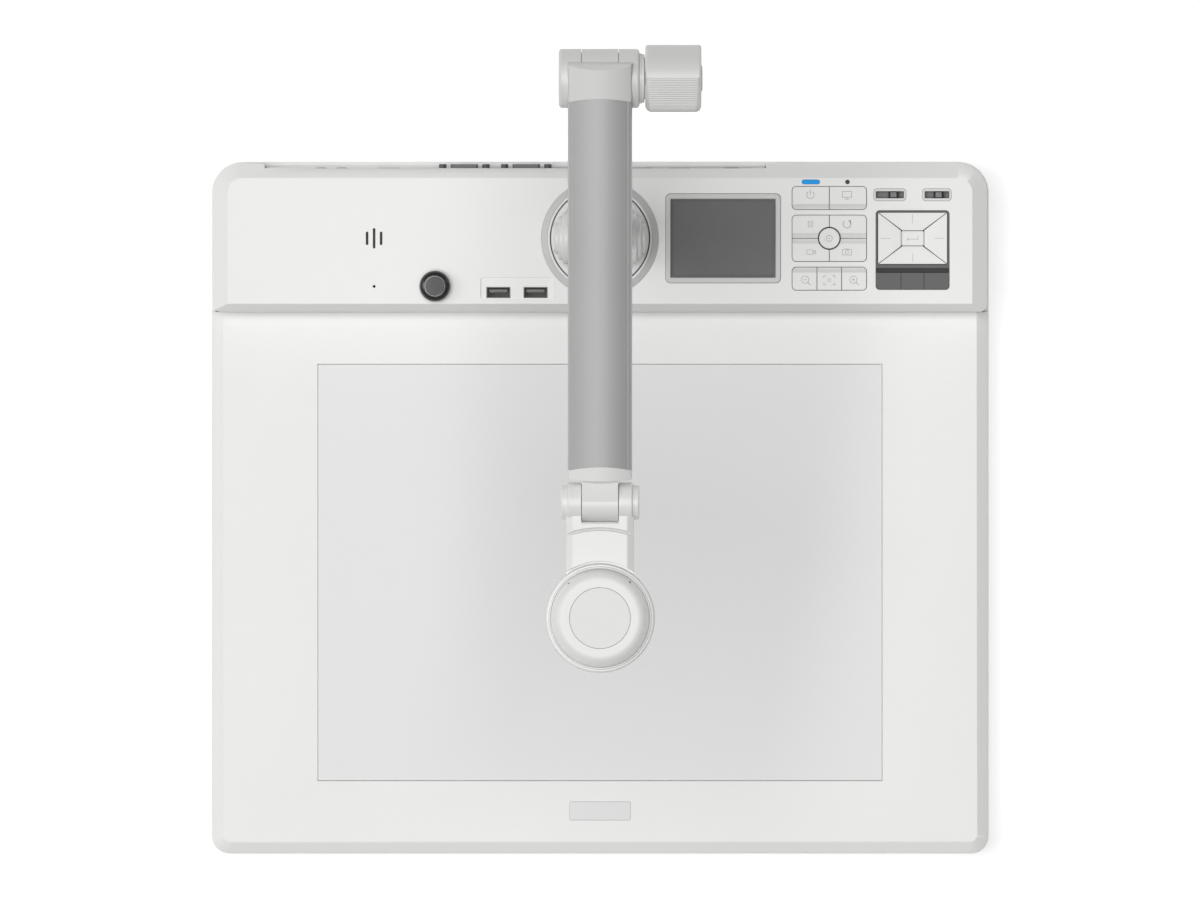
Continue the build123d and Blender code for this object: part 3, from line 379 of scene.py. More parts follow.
def sink(ring, depth):
    """In edit mode: a ring inside the chosen face, and the face within it moved by depth."""
    bpy.ops.mesh.inset(thickness=ring * mm)
    bpy.ops.mesh.extrude_region_move(TRANSFORM_OT_translate={"value": (0, 0, depth * mm)})


def upright(middle, direction):
    return abs(direction.z) > 0.9


foot_low, foot_high = span("rubber_feet")
foot_radius = 9.0
foot = rod("foot", foot_radius, (foot_low.x + foot_radius, foot_low.y + foot_radius, 0),
        (foot_low.x + foot_radius, foot_low.y + foot_radius, foot_high.z))
choose(foot, "FACE", lambda m, d: d.z < -0.9)
sink(2.2, 0.7)
sink(3.0, -0.4)
leave()
soften(foot, 0.45, 3)
foot_span = foot_high - foot_low - Vector((2 * foot_radius, 2 * foot_radius, 0))
feet = [foot] + [repeat(foot, "foot", (i * foot_span.x, j * foot_span.y, 0))
        for i, j in ((1, 0), (0, 1), (1, 1))]
rubber_grey = moulding("soft_grey_rubber", (74, 74, 75), 0.72, grain=2600.0, depth=0.00004, tone=0.12,
        lift=0.12, dust=0.25)
settle(join("four_feet", feet), rubber_grey, "base", "rubber_black", "rubber_feet")

screw_low, screw_high = span("case_screws")
screw_radius = 2.8
head_low = screw_low.z
screw_ys = (-213.917, -75.117, 127.183, 147.783)
screws = []
for screw_x in (screw_low.x + screw_radius, screw_high.x - screw_radius):
    for screw_y in screw_ys:
        head = rod("screw", screw_radius, (screw_x, screw_y, head_low),
                (screw_x, screw_y, head_low + 2.4), 40)
        round_edges(head, 0.9, lambda m, d: m.z < head_low + 0.1, 3)
        for reach in ((1.7, 0.28), (0.28, 1.7)):
            slot = around("slot", (screw_x, screw_y), reach, head_low - 1, head_low + 1.2)
            combine(head, slot)
        shank = rod("shank", 1.5, (screw_x, screw_y, head_low + 2.2), (screw_x, screw_y, screw_high.z),
                24)
        screws += [head, shank]
zinc_steel = moulding("zinc_plated_steel", (168, 170, 172), 0.34, grain=3200.0, depth=0.000006,
        tone=0.1, lift=0.3, dust=0.1, Metallic=1.0)
settle(join("case_screw_set", screws), zinc_steel, "base", "steel", "case_screws")

# ---- Stage cover, working panel and name plate ----
# The flat front of the case: a white cover with a bright panel let into it flush, lit from
# behind by a light guide, and a blank plate near the front edge.


def dress(node, finish):
    """The finish of a construction piece that is shown as it is."""
    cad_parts[node].data.materials.clear()
    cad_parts[node].data.materials.append(finish)


def drawn(name, points):
    """An open line through these points, in millimetres, left in edit mode with its end selected."""
    bpy.ops.object.select_all(action="DESELECT")
    bpy.ops.mesh.primitive_plane_add(size=mm, location=[c * mm for c in points[0]])
    piece = bpy.context.object
    piece.name = piece.data.name = name
    fix_place()
    bpy.context.tool_settings.mesh_select_mode = (True, False, False)
    bpy.ops.object.mode_set(mode="EDIT")
    bpy.ops.mesh.select_all(action="SELECT")
    bpy.ops.mesh.merge(type="CENTER")
    for last, point in zip(points, points[1:]):
        step = [(b - a) * mm for a, b in zip(last, point)]
        bpy.ops.mesh.extrude_vertices_move(TRANSFORM_OT_translate={"value": step})
    return piece


def turn_about(middle, radius, degrees):
    """The point at this angle on a circle."""
    angle = math.radians(degrees)
    return middle[0] + radius * math.cos(angle), middle[1] + radius * math.sin(angle)


def arc(middle, radius, start, end, steps):
    """Points of an arc in a flat profile, from one angle to another, in degrees."""
    return [turn_about(middle, radius, start + (end - start) * i / steps) for i in range(steps + 1)]


def slab(name, points, rise):
    """A closed flat outline raised by rise, in millimetres."""
    piece = drawn(name, points)
    bpy.ops.mesh.select_all(action="SELECT")
    bpy.ops.mesh.edge_face_add()
    bpy.ops.mesh.extrude_region_move(TRANSFORM_OT_translate={"value": [c * mm for c in rise]})
    bpy.ops.mesh.select_all(action="SELECT")
    bpy.ops.mesh.normals_make_consistent(inside=False)
    leave()
    return piece


def slope(piece, point, normal):
    """Planes off what lies beyond a plane, and closes the cut."""
    choose(piece, "FACE", lambda m, d: True)
    bpy.ops.mesh.bisect(plane_co=[c * mm for c in point], plane_no=normal, use_fill=True,
            clear_outer=True)
    leave()
    return piece


def banded(piece, outline, foot, ring, drop, top):
    """Trims a cover's rounded top edge to a flat band: ring wide in plan, drop high."""
    form = slab("form", [(x, y, foot) for x, y in outline], (0, 0, top - drop - foot))
    choose(form, "FACE", lambda m, d: d.z > 0.9 and m.z > foot + 1)
    bpy.ops.mesh.inset(thickness=ring * mm, depth=drop * mm)
    leave()
    return combine(piece, form, how="INTERSECT")


def plan(half, front, rear, front_radius, rear_radius):
    """A plan outline with rounded front and rear corners."""
    points = []
    for x, y, radius, start in ((half - rear_radius, rear - rear_radius, rear_radius, 0),
            (rear_radius - half, rear - rear_radius, rear_radius, 90),
            (front_radius - half, front + front_radius, front_radius, 180),
            (half - front_radius, front + front_radius, front_radius, 270)):
        points += arc((x, y), radius, start, start + 90, 28)
    return points


stage_white = moulding("white_stage_plastic", (243, 243, 241), 0.5, grain=1100.0, depth=0.000015,
        tone=0.012, lift=0.3, dust=0.04)
case_depth, deck_depth = 400.7, 87.1
case_front, case_rear = cad_box[0][1] * 1000, cad_box[0][1] * 1000 + case_depth
deck_front = case_rear - deck_depth
stage_top = banded(welded("stage_cover", "stage_top"),
        plan(225.7, case_front - 0.7, deck_front + 15, 11.3, 2), -5, 7.8, 6.55, 38.4)
settle(stage_top, stage_white, "base", "stage_white", "stage_cover")

panel_low, panel_high = span("stage_panel")
panel = block("working_panel", panel_low, panel_high)
round_edges(panel, 0.35, lambda m, d: m.z > panel_high.z - 0.1, 3)
panel_film = moulding("matt_panel_film", (239, 239, 239), 0.62, grain=900.0, depth=0.00003, tone=0.02,
        lift=0.1, dust=0.02, mottle=9.0)
settle(panel, panel_film, "base", "stage_white", "stage_panel")
light_guide = moulding("frosted_light_guide", (244, 246, 248), 0.3, grain=600.0, depth=0.00001,
        tone=0.02, lift=0.1, Transmission_Weight=0.25)
dress("backlight_panel", light_guide)

plate_low, plate_high = span("name_plate")
plate = block("blank_name_plate", plate_low, plate_high)
round_edges(plate, 1.2, upright, 6)
soften(plate, 0.2)
plate_satin = moulding("satin_plate", (222, 222, 222), 0.38, grain=2200.0, depth=0.000008, tone=0.02,
        lift=0.25, dust=0.03)
settle(plate, plate_satin, "base", "stage_white", "name_plate")

# ---- Deck cover ----
# The raised rear part of the case, one white moulding with openings for every key, socket and
# window; its rear wall steps in where the sockets stand.
deck_top = 60.0
deck_plan = plan(225.0, deck_front - 20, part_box("deck_cover")[1].y / mm + 1, 2, 18)
control_deck = banded(welded("deck_cover", "control_deck"), deck_plan, -5, 10.3, 7.48, deck_top + 0.45)
slope(control_deck, (0, deck_front + 4.6, deck_top), Vector((0, -1.54, 1)).normalized())
combine(control_deck, block("ledge", (-193.5, case_rear - 6.2, 22.6), (95.5, case_rear - 2.65, 24.5)),
        how="UNION")
settle(control_deck, case_white, "base", "white_case", "deck_cover")
turret_y = (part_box("turret_ring")[0].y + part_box("turret_ring")[1].y) / 2 / mm

# ---- Circuit boards and speaker of the deck ----
# Green boards on posts, seen only through the sockets and switches, and a small paper-cone
# speaker behind three slots.
board_green = moulding("green_board_lacquer", (34, 84, 52), 0.35, grain=700.0, depth=0.00003, tone=0.3,
        lift=0.3, dust=0.1, mottle=160.0)
speaker_paper = moulding("dark_speaker_paper", (88, 88, 89), 0.8, grain=900.0, depth=0.00006, tone=0.2,
        lift=0.1, dust=0.15)
dress("circuit_boards", board_green)
dress("speaker", speaker_paper)

# ---- Screen ----
# A small colour screen behind a chamfered grey frame that clips into the deck.
bezel_low, bezel_high = span("screen_bezel")
screen_x = (bezel_low.x + bezel_high.x) / 2
bezel = around("screen_frame", (screen_x, turret_y), (33.3, 25.9), bezel_low.z, bezel_high.z)
round_edges(bezel, 3.0, upright, 8)
round_edges(bezel, 0.5, lambda m, d: m.z > bezel_high.z - 0.05, 3)
opening = around("opening", (screen_x, turret_y), (29.85, 22.2), bezel_low.z - 1, bezel_high.z + 1)
funnel = around("funnel", (screen_x, turret_y), (29.85, 22.2), deck_top - 1.2, deck_top + 0.61)
choose(funnel, "FACE", lambda m, d: d.z > 0.9)
bpy.ops.transform.resize(value=(61.1 / 59.7, 45.8 / 44.4, 1))
leave()
combine(bezel, opening, funnel)
soften(bezel, 0.15)
bezel_grey = moulding("grey_frame_plastic", (204, 204, 203), 0.4, grain=1800.0, depth=0.000012,
        tone=0.02, lift=0.3, dust=0.04)
settle(bezel, bezel_grey, "base", "bezel_grey", "screen_bezel")

display = around("screen_panel", (screen_x, turret_y), (29.8, 22.15), 53.9, deck_top - 1.25)
choose(display, "FACE", lambda m, d: d.z > 0.9)
sink(0.9, -0.12)
leave()
round_edges(display, 0.15, lambda m, d: abs(d.z) < 0.1 and m.z > deck_top - 1.5, 2)
screen_dark = moulding("unlit_screen_glass", (97, 97, 98), 0.42, grain=500.0, depth=0.000001, dust=0.03,
        Specular_IOR_Level=0.25)
settle(display, screen_dark, "base", "screen_grey", "screen")

# ---- Status lamp and remote-control window ----
# Two small clear lenses flush with the deck: a blue stadium and a dark round one.
lens_low = span("indicator_lenses")[0]
lamp_y = turret_y + 32.6
lamp = around("status_lamp", (121.9, lamp_y), (5.2, 1.25), lens_low.z, deck_top + 0.1)
round_edges(lamp, 1.2, upright, 10)
round_edges(lamp, 0.12, lambda m, d: m.z > deck_top, 2)
lamp_blue = moulding("blue_lamp_lens", (8, 160, 240), 0.45, grain=900.0, depth=0.000004, tone=0.02,
        lift=0.0, dust=0.0, Specular_IOR_Level=0.15, Emission_Color=(0.0, 0.3, 0.85, 1),
        Emission_Strength=0.06)
settle(lamp, lamp_blue, "base", "led_blue", "indicator_lenses")
window = rod("remote_window", 1.2, (143.1, lamp_y, lens_low.z), (143.1, lamp_y, deck_top + 0.1), 32)
round_edges(window, 0.2, lambda m, d: m.z > deck_top, 3)
window_dark = moulding("dark_window_lens", (66, 64, 66), 0.4, grain=900.0, depth=0.000002, tone=0.05,
        lift=0.1, dust=0.0, Specular_IOR_Level=0.15)
settle(window, window_dark, "base", "led_blue", "indicator_lenses")

# ---- Arm rest ----
# A black rubber stop on a stem; the folded forearm lies on its flat top.


def turned(name, profile, centre, axis="Z", steps=64):
    """A profile of (radius, height) pairs turned once about an axis through centre."""
    if axis == "Z":
        points = [(centre[0] + r, centre[1], centre[2] + h) for r, h in profile]
        direction = (0, 0, 1)
    else:
        points = [(centre[0] + h, centre[1], centre[2] + r) for r, h in profile]
        direction = (1, 0, 0)
    piece = drawn(name, points)
    bpy.ops.mesh.select_all(action="SELECT")
    bpy.ops.mesh.spin(steps=steps, angle=math.tau, center=[c * mm for c in centre], axis=direction)
    bpy.ops.mesh.select_all(action="SELECT")
    bpy.ops.mesh.remove_doubles(threshold=0.000001)
    bpy.ops.mesh.normals_make_consistent(inside=False)
    leave()
    return piece


rest_low, rest_high = span("arm_rest")
rest_x = (rest_low.x + rest_high.x) / 2
rest_y = (rest_low.y + rest_high.y) / 2
rest_top = rest_high.z - deck_top
rest = turned("arm_rest_rubber", [(0, -4), (4, -4), (4, 0), (8.4, 0), (8.9, 0.4)]
        + arc((5.4, rest_top - 3.6), 3.6, 0, 90, 12) + [(5.2, rest_top - 0.35), (0, rest_top - 0.35)],
        (rest_x, rest_y, deck_top))
black_rubber = moulding("glossy_black_rubber", (34, 34, 35), 0.22, grain=1600.0, depth=0.000008,
        tone=0.15, lift=0.06, dust=0.06, Coat_Weight=0.5, Coat_Roughness=0.2)
settle(rest, black_rubber, "base", "rubber_black", "arm_rest")
pad = turned("arm_rest_pad", [(0, rest_top - 0.6), (5.15, rest_top - 0.6), (5.15, rest_top - 0.08),
        (5.0, rest_top), (0, rest_top)], (rest_x, rest_y, deck_top))
settle(pad, moulding("matt_grey_pad", (88, 88, 88), 0.78, grain=2400.0, depth=0.00005, tone=0.08,
        lift=0.1, dust=0.2), "base", "rubber_black", "arm_rest")

# ---- Memory sockets in the deck ----
# Two flat sockets that open upwards in a shallow recess, each with a tongue and four contacts.
usb_low, usb_high = span("usb_sockets")
usb_y = (usb_low.y + usb_high.y) / 2
socket_grey = moulding("dark_socket_plastic", (92, 92, 92), 0.42, grain=2000.0, depth=0.00001,
        tone=0.05, lift=0.15, dust=0.08)
contact_gold = moulding("gold_plated_contact", (206, 168, 92), 0.28, grain=2500.0, depth=0.000004,
        tone=0.06, lift=0.2, Metallic=1.0)
usb_shells, usb_contacts = [], []
usb_half = 6.8
for usb_x in (usb_low.x + usb_half, usb_high.x - usb_half):
    shell = block("shell", (usb_x - usb_half, usb_low.y, usb_low.z),
            (usb_x + usb_half, usb_high.y, usb_high.z))
    round_edges(shell, 0.5, upright, 3)
    well = block("well", (usb_x - 6.3, usb_low.y + 0.5, usb_low.z + 2),
            (usb_x + 6.3, usb_high.y - 0.5, usb_high.z + 1))
    combine(shell, well)
    tongue = block("tongue", (usb_x - 5.4, usb_y + 0.1, usb_low.z + 1),
            (usb_x + 5.4, usb_y + 1.9, usb_high.z - 0.6))
    soften(shell, 0.12)
    soften(tongue, 0.2)
    usb_shells += [shell, tongue]
    for i in range(4):
        contact_x = usb_x + (i - 1.5) * 2.4
        usb_contacts.append(block("contact", (contact_x - 0.5, usb_y, usb_low.z + 3),
                (contact_x + 0.5, usb_y + 0.06, usb_high.z - 4.0)))
settle(join("memory_sockets", usb_shells), socket_grey, "base", "socket_black", "usb_sockets")
settle(join("memory_socket_contacts", usb_contacts), contact_gold, "base", "socket_metal",
        "usb_sockets")

# ---- Sockets in the rear wall ----
# Two fifteen-pin video sockets in plated shells, and a row of black-bodied jacks: two audio,
# a small serial, a flat digital video, a network, a square USB and a round power inlet.
video_low, video_high = span("video_sockets")
port_back, ports_face = (corner.y for corner in span("rear_sockets"))
board_face = video_low.z
wall_face = video_high.y - 2.9
# Plated steel is bright; this dark grey is a painted dark reflection, so that the shell tops look dark
# from above.
steel_painted_dark_reflection = moulding("shell_steel_painted_dark_reflection", (104, 105, 106), 0.5, grain=2600.0, depth=0.000006,
        tone=0.08, lift=0.15, dust=0.03, Metallic=0.4)
socket_black = moulding("black_socket_plastic", (38, 38, 40), 0.45, grain=2200.0, depth=0.00001,
        tone=0.1, lift=0.12, dust=0.08)
video_blue = moulding("dark_blue_socket_core", (36, 52, 92), 0.45, grain=2200.0, depth=0.00001,
        tone=0.08, lift=0.12, dust=0.08)


def d_outline(x, z, half, tall, inset, y):
    """The slanted outline of a video shell at depth y."""
    top = half - inset
    low = half - 1.4 - inset
    rise = tall / 2 - inset
    return [(x - top, y, z + rise), (x + top, y, z + rise), (x + low, y, z - rise),
            (x - low, y, z - rise)]


def along_y(middle, direction):
    return abs(direction.y) > 0.9


def bar(name, radius, x, z, start, end, sides):
    """A round bar along the depth of the case."""
    return rod(name, radius, (x, start, z), (x, end, z), sides)


shells, cores = [], []
for video_x in (-78.5, -42.7):
    middle_z = board_face + 6.15
    flange = block("flange", (video_x - 15.5, video_low.y, board_face),
            (video_x + 15.5, wall_face, board_face + 12.3))
    round_edges(flange, 0.8, along_y, 3)
    shell = slab("shell", d_outline(video_x, middle_z, 8.15, 8.3, 0, wall_face - 0.1), (0, 2.95, 0))
    round_edges(shell, 1.5, along_y, 5)
    hollow = slab("hollow", d_outline(video_x, middle_z, 8.15, 8.3, 0.6, wall_face + 0.05), (0, 4, 0))
    round_edges(hollow, 1.0, along_y)
    combine(shell, hollow)
    soften(shell, 0.12)
    core = slab("core", d_outline(video_x, middle_z, 8.15, 8.3, 1.3, wall_face), (0, 2.1, 0))
    round_edges(core, 0.8, along_y)
    for row in range(3):
        for i in range(5):
            hole_x = video_x + (i - 2) * 2.29 + (0.57 if row == 1 else -0.57)
            hole_z = middle_z + (row - 1) * 1.98
            combine(core, bar("hole", 0.5, hole_x, hole_z, wall_face + 1.2, wall_face + 3, 12))
    cores.append(core)
    for side in (-1, 1):
        nut_x = video_x + side * 12.5
        nut = bar("nut", 2.5, nut_x, middle_z, wall_face - 0.1, wall_face + 2.9, 6)
        combine(nut, bar("bore", 1.2, nut_x, middle_z, wall_face - 0.05, wall_face + 4, 24))
        soften(nut, 0.2)
        shells.append(nut)
    shells += [flange, shell]
settle(join("video_socket_shells", shells), steel_painted_dark_reflection, "base", "socket_metal", "video_sockets")
settle(join("video_socket_cores", cores), video_blue, "base", "socket_metal", "video_sockets",
        weld=0.000003)


def in_wall(name, x, half, back, front, low, high):
    """A box in a socket: its middle and half width, two depths behind the face, and two heights."""
    return block(name, (x - half, ports_face - back, low), (x + half, ports_face - front, high))


bodies, metals, golds = [], [], []
port_sizes = {
    "audio_out": (-161.5, 7.0, 7.0, 3.6, 3.6),
    "audio_in": (-149.5, 7.0, 7.0, 3.6, 3.6),
    "serial": (-122.0, 13.0, 9.0, 10.0, 6.0),
    "digital_video": (-4.0, 15.0, 5.6, 13.6, 4.2),
    "network": (22.0, 16.0, 13.4, 11.8, 8.0),
    "usb_device": (46.0, 12.0, 10.8, 8.6, 7.6),
    "power": (76.0, 9.6, 10.6, 6.4, 6.4),
}
for port, (port_x, wide, tall, inner_wide, inner_tall) in port_sizes.items():
    port_z = board_face + tall / 2
    body = block(port, (port_x - wide / 2, port_back, board_face),
            (port_x + wide / 2, ports_face, board_face + tall))
    round_edges(body, 0.5, along_y, 3)
    if port in ("audio_out", "audio_in", "power"):
        combine(body, bar("bore", inner_wide / 2, port_x, port_z, ports_face - 10, ports_face + 1, 32))
        lip = turned("lip",
                [(inner_wide / 2, -0.3), (inner_wide / 2, 0.18), (inner_wide / 2 + 0.5, 0.18),
                (inner_wide / 2 + 0.7, 0.0), (inner_wide / 2 + 0.7, -0.3), (inner_wide / 2, -0.3)],
                (0, 0, 0), steps=40)
        lip.rotation_euler = (math.radians(-90), 0, 0)
        lip.location = Vector((port_x, ports_face, port_z)) * mm
        alone(lip)
        fix_place()
        metals.append(lip)
    else:
        combine(body, in_wall("bore", port_x, inner_wide / 2, 9.3, -1, port_z - inner_tall / 2,
                port_z + inner_tall / 2))
    soften(body, 0.15)
    bodies.append(body)
    if port == "power":
        metals.append(soften(bar("centre_pin", 0.65, port_x, port_z, ports_face - 9.9, ports_face - 2.0,
                20), 0.2))
    if port == "network":
        for i in range(8):
            contact_x = port_x + (i - 3.5) * 1.02
            golds.append(in_wall("contact", contact_x, 0.2, 9, 2.5, port_z + inner_tall / 2 - 1.3,
                    port_z + inner_tall / 2 - 0.9))
        combine(body, in_wall("latch", port_x, 2.9, 6, -1, port_z - inner_tall / 2 - 1.3, port_z))
    if port == "usb_device":
        bodies.append(soften(in_wall("tongue", port_x, 2.9, 9.4, 1.6, port_z - 1.5, port_z + 1.5), 0.2))
        for side in (-1, 1):
            side_z = port_z + side * 1.5
            golds.append(in_wall("contact", port_x, 2.0, 9, 2.4, side_z - 0.05, side_z + 0.05))
    if port == "digital_video":
        bodies.append(soften(in_wall("tongue", port_x, 5.4, 9.4, 1.6, port_z - 0.2, port_z + 0.7),
                0.15))
        for i in range(9):
            contact_x = port_x + (i - 4) * 1.0
            golds.append(in_wall("contact", contact_x, 0.2, 9, 2.2, port_z - 0.28, port_z - 0.18))
    if port == "serial":
        for i in range(4):
            pin_x = port_x + (i % 2 - 0.5) * 4.4
            pin_z = port_z + (i // 2 - 0.5) * 2.4
            metals.append(soften(bar("pin", 0.4, pin_x, pin_z, ports_face - 9.4, ports_face - 2.6, 16),
                    0.12))
settle(join("rear_jack_bodies", bodies), socket_black, "base", "socket_black", "rear_sockets")
settle(join("rear_jack_metal", metals), steel_painted_dark_reflection, "base", "socket_metal", "rear_sockets")
settle(join("rear_jack_contacts", golds), contact_gold, "base", "socket_metal", "rear_sockets")
settle(soften(welded("card_slot", "memory_card_slot"), 0.12), socket_black, "base", "socket_black",
        "card_slot")

# ---- Key mat ----
# A grey silicone sheet over the switches, with a dome under each key. Its grey shows through the gaps
# between the keys as painted shade in them.
mat = block("key_mat", (108.0, turret_y - 36.4, 54.1), (203.2, turret_y + 20.6, 54.45))
round_edges(mat, 2.0, upright)
mat_rear = block("mat", (108.0, turret_y + 20.6, 54.1), (156.0, turret_y + 36.4, 54.45))
domes = [mat, mat_rear]
for key in ("power_key", "source_key", "pause_key", "rotate_key", "record_key", "capture_key",
        "zoom_out_key", "focus_key", "zoom_in_key", "menu_key", "up_key", "down_key", "left_key",
        "right_key", "enter_key"):
    dome_low, dome_high = span(key)
    dome_x, dome_y = (dome_low.x + dome_high.x) / 2, (dome_low.y + dome_high.y) / 2
    domes.append(turned("dome", [(0, 54.4), (2.6, 54.4), (2.1, 54.8), (0, 54.8)], (dome_x, dome_y, 0),
            steps=24))
# The grey of the sheet is painted shade in the gaps between the keys.
key_mat_gap_shade = moulding("grey_key_silicone_gap_shade", (128, 128, 128), 0.7, grain=1800.0, tone=0.1, lift=0.1,
        dust=0.1)
settle(join("key_mat_sheet", domes), key_mat_gap_shade, "base", "rubber_black")

# ---- Keys of the three groups ----
# White moulded caps on stems, cut from three rounded groups by fine gaps. Each cap slopes away
# along one side, and its sign is printed in pale grey.
key_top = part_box("power_key")[1].z / mm
key_low = key_top - 3.6
group_x, group_half = 132.6, 21.4
half_gap = 0.15
key_white = moulding("white_key_plastic", (241, 241, 239), 0.45, depth=0.000012, tone=0.012, lift=0.3,
        dust=0.03)
print_grey = moulding("pale_grey_print", (196, 196, 195), 0.6, grain=2600.0, depth=0.00001, tone=0.04,
        lift=0.0, edge=0.00005)


def stroke(x, y, width, turn, reach, radius=0.0, sweep=0.0):
    """One printed stroke on a key's face: a straight bar, or an arc when it has a radius."""
    if radius:
        inner, outer = radius - width / 2, radius + width / 2
        piece = drawn("stroke", [(*turn_about((x, y), edge, turn), 0) for edge in (inner, outer)])
        bpy.ops.mesh.select_all(action="SELECT")
        bpy.ops.mesh.spin(steps=max(8, int(abs(sweep) / 10)), angle=math.radians(sweep),
                center=(x * mm, y * mm, 0), axis=(0, 0, -1))
        bpy.ops.mesh.select_all(action="SELECT")
        bpy.ops.mesh.remove_doubles(threshold=0.000001)
        leave()
        return piece
    bpy.ops.object.select_all(action="DESELECT")
    bpy.ops.mesh.primitive_plane_add(size=1, location=(x * mm, y * mm, 0))
    piece = bpy.context.object
    piece.scale = (reach * mm, width * mm, 1)
    piece.rotation_euler = (0, 0, math.radians(turn))
    fix_place()
    return piece


def printed(key, height, strokes):
    """A sign of several strokes, as a thin film of ink standing on a key."""
    parts = [stroke(*each) for each in strokes]
    sign = join(key + "_sign", parts)
    sign.location.z = (height + 0.03) * mm
    alone(sign)
    fix_place()
    choose(sign, "FACE", lambda m, d: True)
    bpy.ops.mesh.normals_make_consistent(inside=False)
    leave()
    ink = sign.modifiers.new("ink", "SOLIDIFY")
    ink.thickness = 0.05 * mm
    ink.offset = 0
    bpy.ops.object.modifier_apply(modifier=ink.name)
    settle(sign, print_grey, key, "bezel_grey")


def frame_strokes(x, y, wide, tall, width):
    """Four bars round a rectangle."""
    return [(x, y + tall / 2, width, 0, wide + width), (x, y - tall / 2, width, 0, wide + width),
            (x - wide / 2, y, width, 90, tall), (x + wide / 2, y, width, 90, tall)]


groups = (
    (23.35, 13.1, 2, 1, ("power_key", "source_key")),
    (0.0, 26.6, 2, 2, ("pause_key", "rotate_key", "record_key", "capture_key")),
    (-23.35, 13.1, 3, 1, ("zoom_out_key", "focus_key", "zoom_in_key")),
)
band, band_drop = 3.0, 2.1
low_at_rear = ("record_key", "capture_key", "zoom_out_key", "focus_key", "zoom_in_key")
for row, depth, columns, rows, names in groups:
    row_y = turret_y + row
    for index, key in enumerate(names):
        i, j = index % columns, index // columns
        left = group_x - group_half + 2 * group_half * i / columns
        right = left + 2 * group_half / columns
        rear = row_y + depth / 2 - depth * j / rows
        front = rear - depth / rows
        cap = around(key + "_cap", (group_x, row_y), (group_half, depth / 2), key_low, key_top)
        round_edges(cap, 2.3, upright, 8)
        if i > 0:
            slope(cap, (left + half_gap, 0, 0), (-1, 0, 0))
        if i < columns - 1:
            slope(cap, (right - half_gap, 0, 0), (1, 0, 0))
        if j > 0:
            slope(cap, (0, rear - half_gap, 0), (0, 1, 0))
        if j < rows - 1:
            slope(cap, (0, front + half_gap, 0), (0, -1, 0))
        low_side = 1 if key in low_at_rear else -1
        edge_y = rear if low_side > 0 else front
        tilt = Vector((0, low_side * band_drop, band)).normalized()
        slope(cap, (0, edge_y - low_side * band, key_top), tilt)
        if rows == 2:
            combine(cap,
                    rod("bore", 6.65, (group_x, turret_y, key_low - 1),
                    (group_x, turret_y, key_top + 1)))
        soften(cap, 0.18, 2, 20)
        settle(cap, key_white, key, "key_white", key)

menu = turned("menu_key_cap", [(0, key_low), (5.96, key_low), (5.96, key_top - 0.3), (5.66, key_top),
        (3.5, key_top), (3.1, key_top - 0.22), (0, key_top - 0.3)], (group_x, turret_y, 0))
settle(menu, key_white, "menu_key", "key_white", "menu_key")
printed("menu_key", key_top - 0.3,
        [(group_x, turret_y, 0.45, 0, 0, 1.7, 360), (group_x, turret_y, 0.6, 0, 1.2)])

face = key_top
left_x, right_x = group_x - 10.9, group_x + 10.2
top_row, low_row = turret_y + 8.2, turret_y - 8.0
zoom_y = turret_y - 24.2
printed("power_key", face,
        [(left_x, turret_y + 25.2, 0.5, 125, 0, 2.15, 290), (left_x, turret_y + 26.6, 0.5, 90, 3.2)])
printed("source_key", face, frame_strokes(right_x, turret_y + 25.4, 5.2, 3.4, 0.4)
        + [(right_x, turret_y + 23.1, 0.4, 90, 0.8), (right_x, turret_y + 22.6, 0.4, 0, 2.6)])
printed("pause_key", face, frame_strokes(left_x - 0.95, top_row, 0.9, 3.3, 0.3)
        + frame_strokes(left_x + 0.95, top_row, 0.9, 3.3, 0.3))
printed("rotate_key", face,
        [(right_x, top_row, 0.6, 130, 0, 2.2, 280), (right_x + 1.5, top_row + 2.0, 0.5, 170, 1.5),
        (right_x + 1.9, top_row + 1.4, 0.5, 95, 1.4)])
printed("record_key", face, frame_strokes(left_x - 0.3, low_row, 3.6, 2.5, 0.35)
        + [(left_x + 2.3, low_row + 0.55, 0.35, 30, 1.4),
        (left_x + 2.3, low_row - 0.55, 0.35, -30, 1.4), (left_x + 2.9, low_row, 0.35, 90, 2.4)])
printed("capture_key", face, frame_strokes(right_x, low_row - 0.1, 5.2, 3.2, 0.35)
        + [(right_x, low_row - 0.1, 0.35, 0, 0, 1.0, 360), (right_x, low_row + 1.9, 0.35, 0, 2.0)])
for key, sign_x in (("zoom_out_key", 118.6), ("zoom_in_key", 146.5)):
    strokes = [(sign_x, zoom_y + 0.3, 0.4, 0, 0, 2.1, 360), (sign_x + 2.3, zoom_y - 2.0, 0.5, -45, 2.0),
            (sign_x, zoom_y + 0.3, 0.35, 0, 1.9)]
    if key == "zoom_in_key":
        strokes.append((sign_x, zoom_y + 0.3, 0.35, 90, 1.9))
    printed(key, face, strokes)
focus_strokes = [(group_x, zoom_y, 0.35, 0, 0, 0.9, 360)]
for side_x in (-1, 1):
    for side_y in (-1, 1):
        corner_x, corner_y = group_x + side_x * 3.2, zoom_y + side_y * 2.5
        focus_strokes += [(corner_x - side_x * 0.7, corner_y, 0.4, 0, 1.4),
                (corner_x, corner_y - side_y * 0.5, 0.4, 90, 1.4)]
printed("focus_key", face, focus_strokes)

